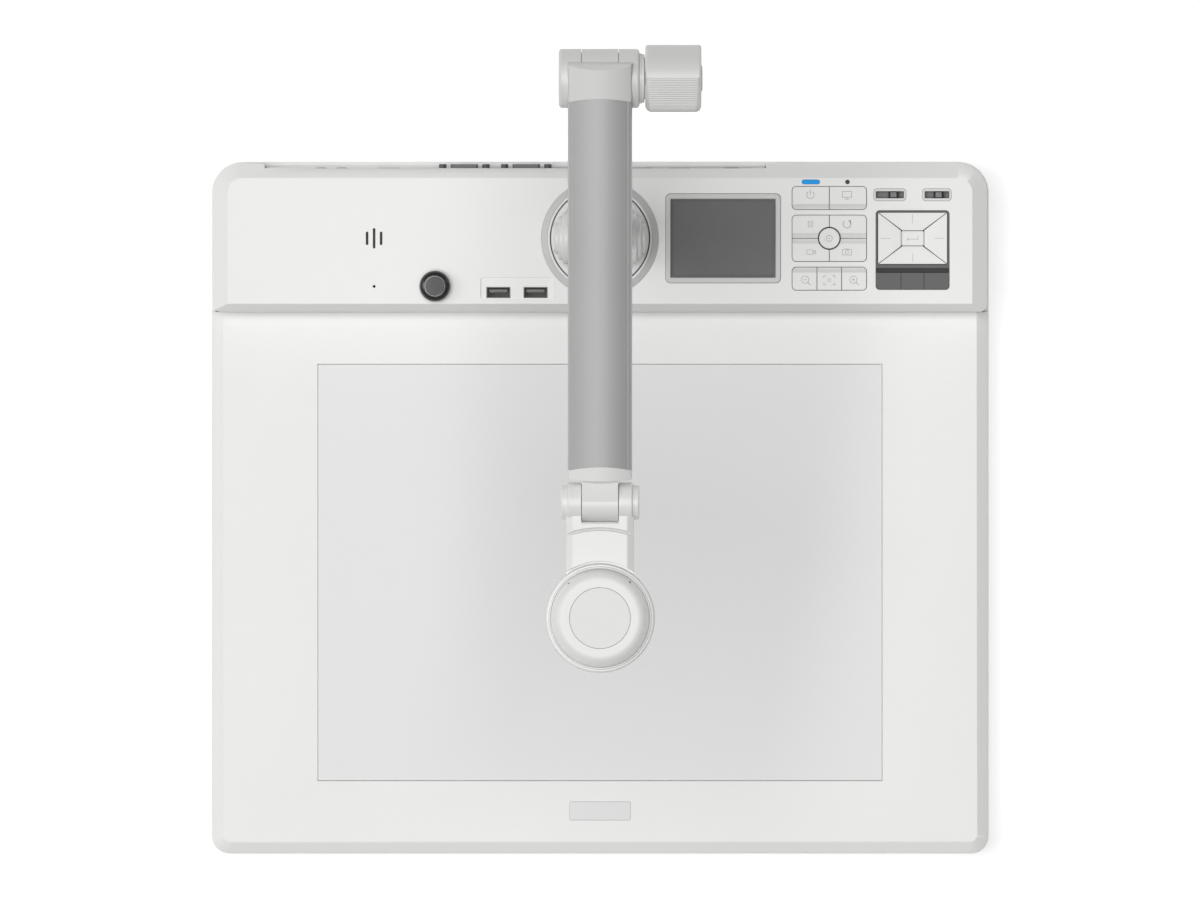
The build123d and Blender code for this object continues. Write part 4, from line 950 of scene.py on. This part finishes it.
# ---- Navigation cluster ----
# A dark frame round five white keys: four wedges that dip towards the enter key in the middle,
# with three dark soft keys in front of a sunken channel.
nav_low, nav_high = span("navigation_frame")
nav_x = (nav_low.x + nav_high.x) / 2
pad_half, pad_deep = 19.95, 14.85
nav_frame = block("navigation_surround", (nav_x - 21.25, turret_y - 29.7, deck_top - 3.8),
        (nav_x + 21.25, turret_y + 16.1, deck_top + 0.2))
round_edges(nav_frame, 2.3, upright, 8)
for low_y, high_y in ((-15.15, 15.15), (-29.2, -19.6)):
    hole = block("hole", (nav_x - 20.25, turret_y + low_y, deck_top - 6),
            (nav_x + 20.25, turret_y + high_y, deck_top + 1))
    round_edges(hole, 1.4, upright, 6)
    combine(nav_frame, hole)
combine(nav_frame, block("ledge", (nav_x - 22, turret_y - 31, deck_top - 1.05),
        (nav_x + 22, turret_y - 17.3, deck_top + 1)))
soften(nav_frame, 0.18)
frame_grey = moulding("dark_grey_frame_plastic", (92, 92, 92), 0.42, grain=1800.0, depth=0.000012,
        lift=0.12, dust=0.01, Specular_IOR_Level=0.25)
settle(nav_frame, frame_grey, "base", "dark_frame", "navigation_frame")
# The channel floor is near black as painted shade, for the shade that lies in the sunken channel.
channel = block("channel_floor", (nav_x - 21.2, turret_y - 19.75, deck_top - 1.1),
        (nav_x + 21.2, turret_y - 17.32, deck_top - 0.4))
soften(channel, 0.1)
channel_painted_shade = moulding("channel_floor_painted_shade", (50, 50, 50), 0.5, grain=1800.0, depth=0.000012,
        tone=0.04, lift=0.08, dust=0.01, Specular_IOR_Level=0.2)
settle(channel, channel_painted_shade, "base", "dark_frame")

enter_half, enter_deep = 6.45, 4.25
for key, side_x, side_y in (("up_key", 0, 1), ("down_key", 0, -1), ("left_key", -1, 0),
        ("right_key", 1, 0)):
    outer = [(side_x * pad_half - side_y * pad_half, side_y * pad_deep + side_x * pad_deep),
            (side_x * pad_half + side_y * pad_half, side_y * pad_deep - side_x * pad_deep)]
    share_x, share_y = (enter_half + 0.3) / pad_half, (enter_deep + 0.3) / pad_deep
    inner = [(x * share_x, y * share_y) for x, y in reversed(outer)]
    wedge = slab(key + "_cap", [(nav_x + x, turret_y + y, key_low) for x, y in outer + inner],
            (0, 0, key_top - key_low))
    for seam in (1, -1):
        line = Vector((seam * pad_deep, -pad_half, 0)).normalized()
        if line.x * side_x + line.y * side_y > 0:
            line = -line
        slope(wedge, Vector((nav_x, turret_y, 0)) - line * half_gap, line)
    dip = 6.0
    if side_x:
        slope(wedge, (nav_x + side_x * (enter_half + dip), turret_y, key_top),
                Vector((-side_x * 0.4, 0, dip)).normalized())
    else:
        slope(wedge, (nav_x, turret_y + side_y * (enter_deep + dip * 0.8), key_top),
                Vector((0, -side_y * 0.4, dip)).normalized())
    soften(wedge, 0.14, 2, 20)
    settle(wedge, key_white, key, "key_white", key)
    near, far = (8.6, 13.6) if side_y else (12.6, 18.4)
    mark_x, mark_y = nav_x + side_x * (near + far) / 2, turret_y + side_y * (near + far) / 2
    printed(key, face, [(mark_x, mark_y, 0.3, 90 if side_y else 0, far - near)])

enter = around("enter_key_cap", (nav_x, turret_y), (enter_half, enter_deep), key_low, key_top)
round_edges(enter, 0.8, upright, 5)
choose(enter, "FACE", lambda m, d: d.z > 0.9)
sink(0.7, -0.12)
leave()
soften(enter, 0.14)
settle(enter, key_white, "enter_key", "key_white", "enter_key")
printed("enter_key", key_top - 0.12,
        [(nav_x, turret_y - 0.5, 0.35, 0, 6.0), (nav_x + 3.1, turret_y + 0.35, 0.35, 90, 2.0),
        (nav_x - 2.7, turret_y - 0.15, 0.35, 40, 1.1), (nav_x - 2.7, turret_y - 0.85, 0.35, -40, 1.1)])

for i, key in enumerate(("left_soft_key", "middle_soft_key", "right_soft_key")):
    soft_low, soft_high = span(key)
    soft = block(key + "_cap", (nav_x - 21.15, turret_y - 29.6, deck_top - 0.05),
            (nav_x + 21.15, turret_y - 19.95, key_top - 0.35))
    round_edges(soft, 2.2, lambda m, d: upright(m, d) and m.y < turret_y - 29, 8)
    if i > 0:
        slope(soft, (soft_low.x - 0.02, 0, 0), (-1, 0, 0))
    if i < 2:
        slope(soft, (soft_high.x + 0.02, 0, 0), (1, 0, 0))
    stem = block("stem", (soft_low.x + 0.02, soft_low.y, key_low),
            (soft_high.x - 0.02, soft_high.y - 0.06, deck_top + 0.1))
    combine(soft, stem, how="UNION")
    soften(soft, 0.14)
    settle(soft, frame_grey, key, "dark_frame", key)

# ---- Slide switches ----
# Two slots in small oval frames, each with a ribbed black slider that has a paler grip.
slide_y = turret_y + 25.2
black_slide = moulding("black_slide_plastic", (34, 34, 34), 0.5, grain=1800.0, depth=0.00001, tone=0.06,
        lift=0.1, dust=0.0, Specular_IOR_Level=0.15)
grip_grey = moulding("grey_grip_plastic", (132, 132, 132), 0.5, grain=1800.0, depth=0.00001, tone=0.05,
        lift=0.15)
rib_grey = moulding("ribbed_slot_floor", (122, 122, 122), 0.6, tone=0.1, lift=0.15)
bezels, floors = [], []
for slot_x, wide in ((167.65, 18.7), (194.85, 16.7)):
    surround = around("surround", (slot_x, slide_y), (wide / 2, 3.5), deck_top - 3.8, deck_top + 0.2)
    round_edges(surround, 2.2, upright, 8)
    hole = block("hole", (slot_x - wide / 2 + 1.25, slide_y - 2, deck_top - 6),
            (slot_x + wide / 2 - 1.25, slide_y + 2, deck_top + 1))
    round_edges(hole, 0.5, upright)
    combine(surround, hole)
    soften(surround, 0.25, 3)
    bezels.append(surround)
    for i in range(int(wide / 0.8)):
        rib_x = slot_x - wide / 2 + 0.4 + i * 0.8
        floors.append(block("rib", (rib_x, slide_y - 2.4, 54.72), (rib_x + 0.4, slide_y + 2.4, 54.95)))
    floors.append(around("floor", (slot_x, slide_y), (wide / 2, 2.45), 54.6, 54.82))
settle(join("switch_surrounds", bezels),
        moulding("pale_surround_plastic", (222, 222, 220), 0.42, grain=1800.0, depth=0.00001, tone=0.02,
        lift=0.2, dust=0.04), "base", "bezel_grey", "slide_bezels")
settle(join("switch_slot_floors", floors), rib_grey, "base", "dark_frame")
for body in ("left_slider", "right_slider"):
    slide_low, slide_high = span(body)
    slide_x = (slide_low.x + slide_high.x) / 2
    shoe = block(body + "_shoe", (slide_low.x, slide_low.y, slide_low.z),
            (slide_high.x, slide_high.y, slide_low.z + 1.0))
    cap = block("cap", (slide_low.x, slide_y - 1.8, slide_low.z + 0.9),
            (slide_high.x, slide_y + 1.8, slide_high.z - 0.3))
    round_edges(cap, 0.3, upright, 3)
    combine(cap, around("seat", (slide_x, slide_y), (1.75, 1.5), slide_high.z - 0.9, slide_high.z + 1))
    soften(cap, 0.12)
    settle(join(body + "_carrier", [cap, shoe]), black_slide, body, "dark_frame", body)
    grip = around(body + "_grip", (slide_x, slide_y), (1.7, 1.45), slide_high.z - 1.1, slide_high.z)
    for i in range(3):
        groove_x = slide_x + (i - 1) * 0.9
        combine(grip, around("groove", (groove_x, slide_y), (0.16, 2), slide_high.z - 0.3,
                slide_high.z + 1))
    soften(grip, 0.1)
    settle(grip, grip_grey, body, "dark_frame", body)

# ---- Turret ----
# A grey-white ring in the deck round a disc that turns the whole arm. The disc carries the two
# outer knuckles of the shoulder hinge and runs on a spindle in a post on the tray's floor.
ring_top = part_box("turret_ring")[1].z / mm
grey_collar = turned("turret_collar", [(31.7, 53.2), (31.7, deck_top - 1.2), (34.0, deck_top - 1.2),
        (34.0, deck_top + 0.05), (33.7, deck_top + 0.35), (30.5, ring_top - 0.02),
        (30.3, ring_top - 0.15), (30.3, 53.2), (31.7, 53.2)], (0, turret_y, 0), steps=128)
collar_grey = moulding("grey_collar_plastic", (205, 205, 203), 0.42, grain=1600.0, depth=0.000012,
        tone=0.02, lift=0.1, dust=0.04)
settle(grey_collar, collar_grey, "base", "ring_grey", "turret_ring")
lip = turned("turret_collar_lip", [(30.25, 53.3), (30.25, ring_top - 0.05), (30.05, ring_top),
        (29.3, ring_top), (28.95, ring_top - 0.3), (28.95, 53.3), (30.25, 53.3)], (0, turret_y, 0),
        steps=128)
settle(lip, case_white, "base", "white_case", "turret_ring")

shoulder_z = 75.0
arm_white = moulding("white_arm_plastic", (229, 229, 227), 0.36, depth=0.000012, tone=0.012, lift=0.3,
        dust=0.03)
# The elbow's fork, rear cover and knob are the arm's white plastic; this greyer copy of it is painted
# shade, because they face away from the light.
elbow_painted_shade_white = moulding("arm_plastic_painted_shade", (215, 215, 213), 0.38, depth=0.000012, tone=0.012,
        lift=0.3, dust=0.03)
disc = turned("turret_disc",
        [(0, 53.2), (28.45, 53.2), (28.45, ring_top - 0.7), (28.2, ring_top - 0.25), (27.6, ring_top),
        (25.2, ring_top), (24.9, ring_top - 0.25), (0, ring_top - 0.35)], (0, turret_y, 0), steps=128)
knuckles = turned("knuckles", [(0, -21.5), (14.2, -21.5), (15.0, -20.7), (15.0, 20.7), (14.2, 21.5),
        (0, 21.5)], (0, turret_y, shoulder_z), axis="X", steps=96)
stand_block = around("stand", (0, turret_y), (20.5, 13.5), ring_top - 2, shoulder_z)
combine(disc, stand_block, knuckles, how="UNION")
combine(disc, around("gap", (0, turret_y), (10.7, 40), ring_top, shoulder_z + 40),
        rod("dish", 15.45, (-10.7, turret_y, shoulder_z), (10.7, turret_y, shoulder_z), 96))
for side_x in (-1, 1):
    for side_y in (-1, 1):
        notch_x, notch_y = side_x * 26.6, turret_y + side_y * 7.5
        combine(disc, around("notch", (notch_x, notch_y), (1.2, 0.5), ring_top - 1.8, ring_top + 1))
soften(disc, 0.3, 3, 40)
settle(disc, arm_white, "turret", "arm_plastic", "turret")


def hinge_covers(name, profile, at, steps, sides):
    """A cover disc on each end of a hinge, with the pin between them."""
    parts = [turned("cover", [(radius, side * reach) for radius, reach in profile], at, "X", steps)
            for side in (-1, 1)]
    half = profile[0][1]
    return join(name, parts + [rod("pin", 3.95, (-half, at[1], at[2]), (half, at[1], at[2]), sides)])


shoulder = (0, turret_y, shoulder_z)
shoulder_covers = hinge_covers("shoulder_hinge_covers",
        [(0, 21.4), (12.6, 21.4), (12.6, 23.3), (11.8, 24.1), (9.6, 24.1), (9.0, 24.3), (9.0, 25.9),
        (8.2, 26.7), (4.2, 26.7), (3.9, 26.4), (0, 26.4)], shoulder, 72, 40)
settle(shoulder_covers, arm_white, "turret", "arm_plastic", "shoulder_pin")
dress("turret_bearing", case_white)
dress("turret_nut", zinc_steel)

# ---- Lower arm ----
# A crowned aluminium tube between a moulded shoulder foot and the elbow's forked cap. It leans
# back from the turret, its crown to the rear.


def placed(piece, at, tilt):
    """A piece drawn about the origin, tilted about X and put on its hinge axis."""
    alone(piece)
    piece.rotation_euler = (math.radians(tilt), 0, 0)
    piece.location = Vector(at) * mm
    fix_place()
    return piece


axis_drop, axis_rise = 10.5, 1.0


def crowned(name, start, end, along):
    """The arm's section: flat below, crowned above, run between two places on its long axis."""
    half, side_top, crown = 18.3, 17.5, 5.5
    sweep = (half * half + crown * crown) / (2 * crown)
    middle = side_top + crown - sweep
    reach = math.degrees(math.asin(half / sweep))
    outline = [(-half, 0), (half, 0)] + arc((0, middle), sweep, 90 - reach, 90 + reach, 40)
    if along == "Z":
        piece = slab(name, [(x, y - axis_drop, start) for x, y in outline], (0, 0, end - start))
        run = upright
    else:
        piece = slab(name, [(x, -start, y + axis_rise) for x, y in outline], (0, start - end, 0))
        run = along_y

    def level(point):
        return point.y + axis_drop if along == "Z" else point.z - axis_rise

    def crown_edge(m, d):
        return run(m, d) and abs(abs(m.x) - half) < 0.05 and level(m) > side_top - 0.1

    round_edges(piece, 2.4, lambda m, d: run(m, d) and level(m) < 0.1, 6)
    round_edges(piece, 2.2, crown_edge, 1)
    return piece


def drum(name, radius, half, at, edge=0.0):
    """A round bar across the arm, with rounded ends."""
    piece = rod(name, radius, (-half, at[0], at[1]), (half, at[0], at[1]), 96)
    if edge:
        round_edges(piece, edge, lambda m, d: abs(abs(m.x) - half) < 0.05, 3)
    return piece


def grooved(piece, start, end, along):
    """Two fine lines on the crown, one beside each edge."""
    for side in (-1, 1):
        spot = (side * 15.7, 19.22)
        if along == "Z":
            ends = [(spot[0], spot[1] - axis_drop, end_at) for end_at in (start, end)]
        else:
            ends = [(spot[0], -end_at, spot[1] + axis_rise) for end_at in (start, end)]
        combine(piece, rod("line", 0.42, *ends, 12))
    return piece


tube_silver = moulding("satin_silver_tube", (187, 187, 187), 0.5, grain=2400.0, tone=0.05, lift=0.1,
        dust=0.02, Metallic=0.35)
lean = -14.5
knuckle_half = 10.35
lower_length = 354.0
foot_cap = crowned("shoulder_foot", 2.0, 41.0, "Z")
combine(foot_cap, drum("clear", 15.45, 40, (0, 0)))
combine(foot_cap, drum("knuckle", 15.0, knuckle_half, (0, 0)),
        around("web", (0, 0), (knuckle_half, 11), 0, 19), how="UNION")
combine(foot_cap, block("side", (knuckle_half, -30, -20), (40, 30, 13.0)),
        block("side", (-40, -30, -20), (-knuckle_half, 30, 13.0)))
soften(foot_cap, 0.35, 3, 40)
settle(placed(foot_cap, shoulder, lean), arm_white, "lower_arm", "arm_plastic", "lower_arm_foot")

lower_tube = grooved(crowned("lower_arm_shell", 41.05, 311.15, "Z"), 30, 320, "Z")
soften(lower_tube, 0.25, 2, 60)
settle(placed(lower_tube, shoulder, lean), tube_silver, "lower_arm", "arm_tube", "lower_arm_tube",
        angle=20)

yoke = crowned("elbow_fork", 311.2, 350.0, "Z")
combine(yoke, drum("clear", 16.3, 40, (0, lower_length)))
barrel = turned("barrel", [(0, -23.5), (12.2, -23.5), (12.5, -23.2), (13.0, -23.2), (13.3, -23.5),
        (14.9, -23.5), (15.8, -23.2), (16.5, -22.5), (16.8, -21.5), (16.8, 20.8), (16.5, 21.7),
        (15.9, 22.25), (15.2, 22.4), (14.3, 22.4), (14.3, 23.6), (13.9, 23.8), (13.9, 24.8),
        (13.5, 25.2), (12.0, 25.2), (12.0, 25.55), (0, 25.55)], (0, 0, lower_length), axis="X",
        steps=96)
combine(yoke, block("web", (-17.5, -9, lower_length - 24.8), (18.4, 9, lower_length)), barrel,
        how="UNION")
combine(yoke, drum("slot", 17.25, 10.7, (0, lower_length)))
soften(yoke, 0.3, 3, 50)
settle(placed(yoke, shoulder, lean), elbow_painted_shade_white, "lower_arm", "arm_plastic", "elbow_yoke")


def washers(name, radius, at, steps):
    """A thin friction washer on each side of a hinge's middle knuckle."""
    profile = [(4.2, 10.38), (radius, 10.38), (radius + 0.1, 10.5), (radius, 10.66), (4.2, 10.66),
            (4.2, 10.38)]
    return join(name, [turned("washer", [(r, side * x) for r, x in profile], at, "X", steps)
            for side in (-1, 1)])


washer_dark = moulding("dark_friction_washer", (58, 58, 59), 0.5, grain=1800.0, depth=0.00001,
        tone=0.08, lift=0.1)
elbow_washers = washers("friction_washers", 14.6, (0, 0, lower_length), 64)
settle(placed(elbow_washers, shoulder, lean), washer_dark, "lower_arm", "rubber_black")

# ---- Clamp knob ----
# The elbow's friction knob: a thick white cap on a steel bolt, smooth on one half and finely
# fluted on the other for grip, with a small button in its end.
elbow = Vector((0, (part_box("clamp_bolt")[0].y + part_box("clamp_bolt")[1].y) / 2,
        (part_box("clamp_bolt")[0].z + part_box("clamp_bolt")[1].z) / 2)) / mm
knob_start, knob_end, knob_radius = 25.7, 57.6, 19.1


def knob_half(name, edge, side):
    """Half of the knob, from a turned cap with this end radius."""
    middle = knob_radius - edge
    profile = [(0, knob_start), (middle, knob_start)]
    profile += [(y, x) for x, y in arc((knob_start + edge, middle), edge, 180, 90, 8)][1:]
    profile += [(y, x) for x, y in arc((knob_end - edge, middle), edge, 90, 0, 8)]
    profile += [(7.6, knob_end), (7.4, knob_end - 0.3), (7.3, knob_end), (7.3, knob_end + 0.4),
            (7.1, knob_end + 0.6), (0, knob_end + 0.6)]
    half = turned(name, profile, (0, 0, 0), axis="X", steps=144)
    return slope(half, (0, 0, 0), (0, -side, 0))


smooth_half = knob_half("clamp_knob_cap", 1.6, 1)
grip_half = knob_half("grip_half", 3.6, -1)
flutes = []
for i in range(44):
    angle = math.radians(180 * (i + 0.5) / 44)
    flute_y, flute_z = -(knob_radius + 0.15) * math.sin(angle), (knob_radius + 0.15) * math.cos(angle)
    flutes.append(rod("flute", 0.6, (knob_start + 1.0, flute_y, flute_z),
            (knob_end - 1.0, flute_y, flute_z), 10))
combine(grip_half, join("flutes", flutes))
combine(smooth_half, grip_half, how="UNION")
settle(placed(smooth_half, elbow, 0), elbow_painted_shade_white, "clamp", "arm_plastic", "clamp_knob", angle=28)
dress("clamp_bolt", zinc_steel)

# ---- Forearm ----
# The second crowned tube, pitched down to the front, with a moulded cap over the elbow barrel at
# its rear and a short cap that ends in the wrist's centre knuckle. Both seams are curved.
pitch = 14.0
forearm_length, wrist_rise = 246.0, 9.0
rear_end, rear_seam, rear_round = 12.2, 6.6, 55.6
front_seam, front_round, front_end = 221.6, 51.0, 230.2


def seam_drum(place, radius):
    """An upright drum whose rear edge draws a curved seam across the arm, this far from the elbow."""
    return rod("seam", radius, (0, -place - radius, -40), (0, -place - radius, 60), 256)


rear_cap = crowned("forearm_rear_cover", -rear_end, rear_seam + 3.1, "Y")
slope(rear_cap, (0, rear_end, 18.5), Vector((0, 1, 0.36)).normalized())
combine(rear_cap, seam_drum(rear_seam - 0.05, rear_round))
combine(rear_cap, drum("clear", 17.25, 40, (0, 0)))
combine(rear_cap, drum("knuckle", 16.8, knuckle_half, (0, 0)),
        block("web", (-knuckle_half, -7.0, 0), (knuckle_half, 11.5, 18.5)), how="UNION")
soften(rear_cap, 0.35, 3, 40)
settle(placed(rear_cap, elbow, pitch), elbow_painted_shade_white, "forearm", "arm_plastic", "forearm_rear_cap")

fore_tube = grooved(crowned("forearm_shell", rear_seam, front_seam + 3.4, "Y"), -30, 250, "Y")
fore_reach = seam_drum(rear_seam, rear_round)
combine(fore_reach, block("front", (-30, -300, -10), (30, -rear_seam - 3.0, 60)), how="UNION")
combine(fore_tube, fore_reach, how="INTERSECT")
combine(fore_tube, seam_drum(front_seam - 0.05, front_round))
combine(fore_tube, drum("clear", 17.25, 40, (0, 0)))
soften(fore_tube, 0.2, 2, 60)
settle(placed(fore_tube, elbow, pitch), tube_silver, "forearm", "arm_tube", "forearm_tube", angle=20)

front_cap = crowned("forearm_front_cover", front_seam - 0.5, front_end, "Y")
combine(front_cap, seam_drum(front_seam, front_round), how="INTERSECT")
wrist_local = (-forearm_length, wrist_rise)
combine(front_cap, drum("knuckle", 11.3, knuckle_half, wrist_local),
        block("web", (-knuckle_half, -246, 3), (knuckle_half, -229.0, 19.9)), how="UNION")
for side in (-1, 1):
    combine(front_cap,
            rod("clear", 11.75, (side * knuckle_half, *wrist_local), (side * 40, *wrist_local), 96))
soften(front_cap, 0.3, 3, 40)
settle(placed(front_cap, elbow, pitch), arm_white, "forearm", "arm_plastic", "forearm_front_cap")

# ---- Wrist and neck ----
# The neck hangs level from the wrist hinge and ends in the collar that the camera head turns in.
# A shallow curved groove crosses its top.
wrist = (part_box("wrist_pin")[0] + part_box("wrist_pin")[1]) / 2 / mm
neck_piece = drum("neck_arm", 11.5, 18.4, (0, 0), edge=0.7)
cheeks = block("cheeks", (-18.3, -17.3, -7), (18.3, 0, 5.0))
neck_run = block("run", (-19.3, -65.8, -10.5), (19.3, -7.6, 8.5))
for side in (-1, 1):
    slope(neck_run, (side * 15.6, 0, 8.5), Vector((side * 2.1, 0, 3.7)).normalized())
round_edges(neck_run, 3.5, lambda m, d: along_y(m, d) and m.z < 0, 8)
round_edges(neck_run, 0.5, lambda m, d: along_y(m, d) and m.z > 0, 3)
collar = rod("collar", 31.3, (0, -65.8, -16), (0, -65.8, 8.5), 128)
round_edges(collar, 1.2, lambda m, d: abs(d.z) < 0.1 and m.z < 0)
combine(neck_piece, cheeks, neck_run, collar, how="UNION")
combine(neck_piece, block("slot", (-10.7, -12.15, -40), (10.7, 40, 40)),
        rod("bore", 29.25, (0, -65.8, -40), (0, -65.8, 40), 128))
groove_round, groove_crest = 56.8, -15.2
groove = turned("groove", [(groove_round - 1.1, 0.2), (groove_round, -1.9), (groove_round + 1.1, 0.2),
        (groove_round - 1.1, 0.2)], (0, groove_crest - groove_round, 8.5), steps=200)
combine(neck_piece, groove)
combine(neck_piece,
        turned("rim", [(29.0, 0.1), (29.3, -0.05), (30.3, -0.12), (30.8, -0.7), (31.35, -2.6),
        (32.4, -2.6), (32.4, 1.0), (29.0, 1.0), (29.0, 0.1)], (0, -65.8, 8.5), steps=128))
soften(neck_piece, 0.16, 2, 50)
settle(placed(neck_piece, wrist, 0), arm_white, "neck", "arm_plastic", "neck")

wrist_covers = hinge_covers("wrist_hinge_covers",
        [(0, 18.4), (9.8, 18.4), (9.8, 21.6), (9.3, 22.2), (8.9, 22.4), (6.2, 22.4), (5.9, 22.1),
        (0, 22.1)], wrist, 64, 32)
settle(wrist_covers, arm_white, "neck", "arm_plastic", "wrist_pin")
settle(washers("wrist_washers", 10.6, wrist, 48), washer_dark, "neck", "rubber_black")

# ---- Camera head ----
# A domed white shell that turns in the collar, with a flat disc let into its top; below are the
# lens barrel, its glass and a ring of small lamps behind a diffuser.
head_y = (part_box("head_shell")[0].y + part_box("head_shell")[1].y) / 2 / mm
head_at = (0, head_y, wrist.z)
dome = [(0, -27.0), (27.2, -27.0), (29.2, -25.0), (29.2, 9.7), (29.0, 9.95), (28.55, 9.95),
        (28.35, 9.7), (28.3, 9.3)]
dome += [(21.4 + 6.7 * math.cos(math.radians(a)) ** 0.9, 9.3 + 8.2 * math.sin(math.radians(a)) ** 0.95)
        for a in range(8, 90, 8)]
dome += [(21.0, 17.5), (17.45, 17.5), (17.4, 16.2), (0, 16.2)]
shell = turned("head_cover", dome, head_at, steps=128)
ring_room = turned("room", [(17.2, -28), (26.0, -28), (26.0, -23.0), (17.2, -23.0), (17.2, -28)],
        head_at, steps=96)
combine(shell, ring_room, rod("room", 15.1, (0, head_y, wrist.z - 28), (0, head_y, wrist.z - 0.5), 96))
for angle, reach in ((50, 0.55), (132, 0.35)):
    dimple_x, dimple_y = turn_about((0, head_y), 26.6, angle)
    combine(shell,
            rod("dimple", reach, (dimple_x, dimple_y, wrist.z + 10), (dimple_x, dimple_y, wrist.z + 20),
            20))
soften(shell, 0.1, 2, 50)
settle(shell, arm_white, "head", "arm_plastic", "head_shell")
disc_top = turned("head_top_disc", [(0, 16.3), (17.3, 16.3), (17.3, 17.3), (17.15, 17.45), (0, 17.45)],
        head_at, steps=96)
disc_satin = moulding("satin_head_disc", (230, 230, 229), 0.5, depth=0.000008, tone=0.012, lift=0.2,
        dust=0.02)
settle(disc_top, disc_satin, "head", "arm_plastic", "head_disc")

black_barrel = moulding("black_lens_barrel", (46, 46, 48), 0.4, grain=2200.0, depth=0.00001, tone=0.08,
        lift=0.15)
barrel_profile = [(0, -1.0), (15.0, -1.0), (15.0, -27.8), (14.7, -28.1), (14.7, -28.5), (15.0, -28.8),
        (15.0, -30.0), (14.1, -31.0), (13.0, -31.0), (12.4, -30.3), (12.1, -29.2), (11.7, -29.0),
        (11.4, -27.9), (11.0, -27.7), (10.7, -26.6), (10.3, -26.4), (10.2, -25.2), (0, -25.2)]
settle(turned("lens_barrel_shell", barrel_profile, head_at, steps=96), black_barrel, "head",
        "lens_dark", "lens_barrel")
glass_profile = [(0, -20.6), (9.9, -20.6),
        (9.9, -24.2)] + [(9.9 * math.cos(math.radians(a)), -24.2 - 1.9 * math.sin(math.radians(a)))
        for a in range(10, 90, 10)] + [(0, -26.1)]
coated_glass = moulding("coated_lens_glass", (20, 22, 34), 0.05, grain=400.0, depth=0.0000002, tone=0.2,
        lift=0.0, dust=0.0, Coat_Weight=1.0, Coat_Roughness=0.02)
settle(turned("lens_front_glass", glass_profile, head_at), coated_glass, "head", "lens_dark",
        "lens_glass")
diffuser = turned("lamp_diffuser", [(17.4, -23.0), (25.8, -23.0), (25.8, -26.2), (25.5, -26.6),
        (17.7, -26.6), (17.4, -26.2), (17.4, -23.0)], head_at, steps=96)
lamps = [diffuser]
for i in range(12):
    lamp_at = (*turn_about((0, head_y), 21.6, 30 * i), wrist.z)
    lamps.append(turned("lamp", [(0, -26.4), (1.7, -26.4), (1.6, -26.75), (1.1, -26.9), (0, -26.95)],
            lamp_at, steps=20))
lamp_white = moulding("frosted_lamp_cover", (244, 244, 238), 0.35, grain=900.0, lift=0.2, dust=0.02,
        Transmission_Weight=0.15)
settle(join("lamp_ring_cover", lamps), lamp_white, "head", "lamp_white", "lamp_ring")

# ---- Floor, light and camera ----
# A pale sweep under the case, two large soft boxes and a long lens straight above the stage.
bpy.ops.object.select_all(action="DESELECT")
bpy.ops.mesh.primitive_circle_add(vertices=96, radius=6.0, fill_type="NGON")
floor = bpy.context.object
floor.name = "floor"
floor_finish = bpy.data.materials.new("pale_floor")
floor_finish.use_nodes = True
floor_surface = floor_finish.node_tree.nodes["Principled BSDF"]
floor_surface.inputs["Base Color"].default_value = (0.9, 0.9, 0.9, 1)
floor_surface.inputs["Roughness"].default_value = 0.8
floor_surface.inputs["Emission Color"].default_value = (1, 1, 1, 1)
floor_surface.inputs["Emission Strength"].default_value = 0.35
floor.data.materials.append(floor_finish)

world = bpy.data.worlds.new("soft_room")
bpy.context.scene.world = world
world.use_nodes = True
world.node_tree.nodes["Background"].inputs["Color"].default_value = (1, 1, 1, 1)
world.node_tree.nodes["Background"].inputs["Strength"].default_value = 0.09


def soft_box(name, place, size, energy):
    """A large square lamp aimed at the middle of the stage."""
    bpy.ops.object.light_add(type="AREA", location=place)
    lamp = bpy.context.object
    lamp.name = name
    lamp.data.size = size
    lamp.data.energy = energy
    lamp.rotation_euler = (Vector((0, 0, 0.05)) - Vector(place)).to_track_quat("-Z", "Y").to_euler()
    lamp.visible_camera = False


soft_box("top_box", (-1.2, 0.3, 12.0), 7.5, 1075)
soft_box("left_box", (-8.5, 0.8, 8.5), 4.5, 235)

bpy.ops.object.camera_add(location=(0, 0.00178, 20.05), rotation=(0, 0, 0))
camera = bpy.context.object
view_width, view_distance = 0.6942, 20.0
camera.data.sensor_width = 36
camera.data.lens = camera.data.sensor_width * view_distance / view_width
camera.data.clip_end = 60
bpy.context.scene.camera = camera
